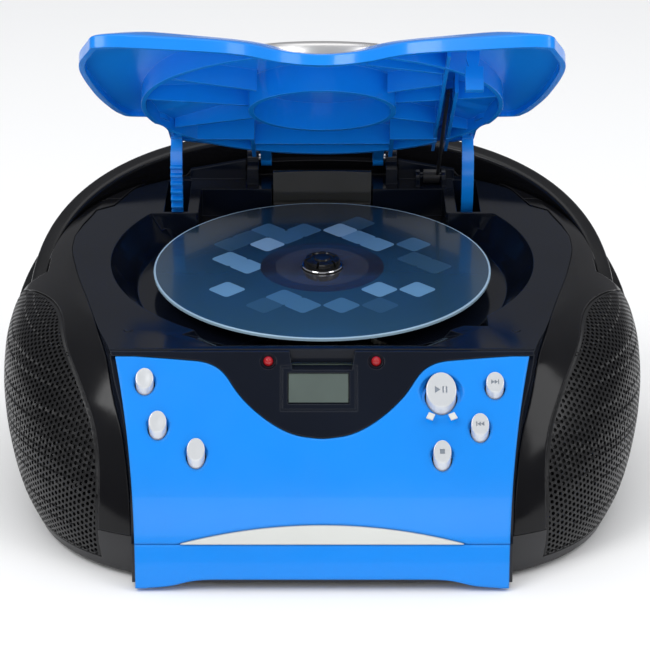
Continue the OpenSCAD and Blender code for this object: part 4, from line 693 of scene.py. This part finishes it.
def lens():
    rows = []; n = 96
    for q, z in [(1.0, 8.0), (1.0, 0), (0.985, 0.7), (0.95, 1.3), (0.90, 1.7), (0.82, 2.0), (0.7, 2.25), (0.5, 2.5), (0.3, 2.6), (0.1, 2.65)]:
        R = []
        for i in range(n):
            x, y = 28.4*q*cos(2*pi*i/n), -31+19.2*q*sin(2*pi*i/n)
            fl = min(max((-y-31)/19.2, 0), 1)
            R.append((x, y, 8.0 if (q, z) == (1.0, 8.0) else 15.7-2.2*fl**2+z))
        rows.append(R)
    return rings(rows)
bd = sub(lens(), xf(lid_solid(0, 0), T(0, 0, 0.03)))
done(xf(bd, LF), "vis_lid_badge", M["badge_silver"], "lid", ["lid_badge"], ang=40)

# ---------------------------------------------------------------- handle
def handle():
    ho, hi = hout(0, 160), hout(HTK, 160); rows = []
    sec = rounded([(0,-HB2),(HTK,-HB2),(HTK,HB2),(0,HB2)], 1.8, 6)
    for (xo, yo), (xi, yi) in zip(ho, hi):
        rows.append([(xo+(xi-xo)*w/HTK, yo+(yi-yo)*w/HTK, z) for w, z in sec])
    o = xf(fixn(rings(rows)), HM)
    for s in (1, -1):
        e = lathe([(0,HA-7),(7.5,HA-7),(7.8,HA-6.7),(7.8,HA-0.6),(7.2,HA),(0,HA)], 64)
        xf(e, T(0, HP_Y, HP_Z) @ RY(90))
        if s < 0: xf(e, MIR)
        o = uni(o, e)
        b = xf(cyl(3.06, 22, 48), T(90, HP_Y, HP_Z) @ RY(90))
        if s < 0: xf(b, MIR)
        o = sub(o, b)
    return o
done(handle(), "vis_handle", M["handle_black"], "handle", ["handle"], ang=30)

# ---------------------------------------------------------------- finish of the carried-over nodes
FIN = {"lcd_module":"lcd_green","control_board":"board","tact_switches":"black_matte","main_board":"board","power_transformer":"iron","mains_inlet":"black_matte","aux_jack":"black_matte",
       "battery_door":"cabinet_grey","battery_contacts":"steel","mech_chassis":"black_matte","damper_bushes":"rubber","spindle_motor":"motor_zinc","guide_rods":"steel","laser_pickup":"black_matte",
       "sled_motor":"motor_zinc","feed_gear":"gear_white","lid_hinge_pins":"steel","lid_spring":"black_matte","damper_gear":"gear_white","latch_catch":"steel","handle_pivots":"steel",
       "volume_wheel":"black_matte","function_switch":"black_matte","rubber_feet":"rubber","case_screws":"steel","woofer_frame_left":"steel","woofer_frame_right":"steel",
       "woofer_cone_left":"paper_cone","woofer_cone_right":"paper_cone","woofer_magnet_left":"magnet","woofer_magnet_right":"magnet"}
for n, k in FIN.items():
    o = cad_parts[n]; o.data.materials.clear(); o.data.materials.append(M[k])
    for p in o.data.polygons: p.material_index = 0

# ---------------------------------------------------------------- stage, light, camera
fl = raw([(-4,-4,0),(4,-4,0),(4,4,0),(-4,4,0)], [(0,1,2,3)], "floor")
fm = bpy.data.materials.new("floor"); fm.use_nodes = True
fb = fm.node_tree.nodes["Principled BSDF"]; fb.inputs["Base Color"].default_value = (0.93,0.93,0.93,1); fb.inputs["Roughness"].default_value = 0.6; fb.inputs["Specular IOR Level"].default_value = 0.2
fl.data.materials.append(fm)
w = bpy.data.worlds.new("studio"); bpy.context.scene.world = w; w.use_nodes = True
nt = w.node_tree; N, L = nt.nodes, nt.links; N.clear()
wo = N.new("ShaderNodeOutputWorld"); b1 = N.new("ShaderNodeBackground"); b2 = N.new("ShaderNodeBackground"); mxs = N.new("ShaderNodeMixShader"); lp = N.new("ShaderNodeLightPath")
tc = N.new("ShaderNodeTexCoord"); sp = N.new("ShaderNodeSeparateXYZ"); L.new(tc.outputs["Generated"], sp.inputs[0])
ra = N.new("ShaderNodeValToRGB"); ra.color_ramp.elements[0].position = 0.0; ra.color_ramp.elements[0].color = (0.16,0.16,0.17,1); ra.color_ramp.elements[1].position = 0.9; ra.color_ramp.elements[1].color = (0.40,0.41,0.43,1)
L.new(sp.outputs[2], ra.inputs[0]); L.new(ra.outputs[0], b1.inputs[0]); b1.inputs[1].default_value = 0.9
b2.inputs[0].default_value = (1,1,1,1); b2.inputs[1].default_value = 1.0
mg = N.new("ShaderNodeMixShader"); b3 = N.new("ShaderNodeBackground"); b3.inputs[0].default_value = (0.97,0.98,1,1); b3.inputs[1].default_value = 0.74
L.new(lp.outputs["Is Glossy Ray"], mg.inputs[0]); L.new(b3.outputs[0], mg.inputs[1]); L.new(b1.outputs[0], mg.inputs[2])
L.new(lp.outputs["Is Camera Ray"], mxs.inputs[0]); L.new(mg.outputs[0], mxs.inputs[1]); L.new(b2.outputs[0], mxs.inputs[2]); L.new(mxs.outputs[0], wo.inputs[0])
def area(name, loc, target, sx, sy, power, col=(1,1,1)):
    d = bpy.data.lights.new(name, "AREA"); d.shape = "RECTANGLE"; d.size = sx; d.size_y = sy; d.energy = power; d.color = col
    o = bpy.data.objects.new(name, d); COL.objects.link(o); o.location = loc
    o.rotation_euler = (Vector(target)-Vector(loc)).to_track_quat("-Z", "Y").to_euler(); return o
area("key", (-0.75,-0.75,1.15), (0,0,0.05), 0.6, 0.6, 6.2)
area("fill", (0.95,-0.6,0.9), (0,0,0.05), 0.5, 0.8, 3.6)
area("top", (0,0.15,1.5), (0,0,0), 1.3, 1.0, 6.0)
area("front", (0,-1.5,0.55), (0,0,0.08), 1.0, 0.4, 2.2)
cam = bpy.data.cameras.new("camera"); co = bpy.data.objects.new("camera", cam); COL.objects.link(co)
co.location = (0, -0.8083, 0.3349); co.rotation_euler = (rad(70.9), 0, 0); cam.lens = 133.18; cam.sensor_width = 36; cam.shift_x = 0.0043; cam.clip_start = 0.01
bpy.context.scene.camera = co
bpy.context.scene.view_settings.view_transform = "Standard"
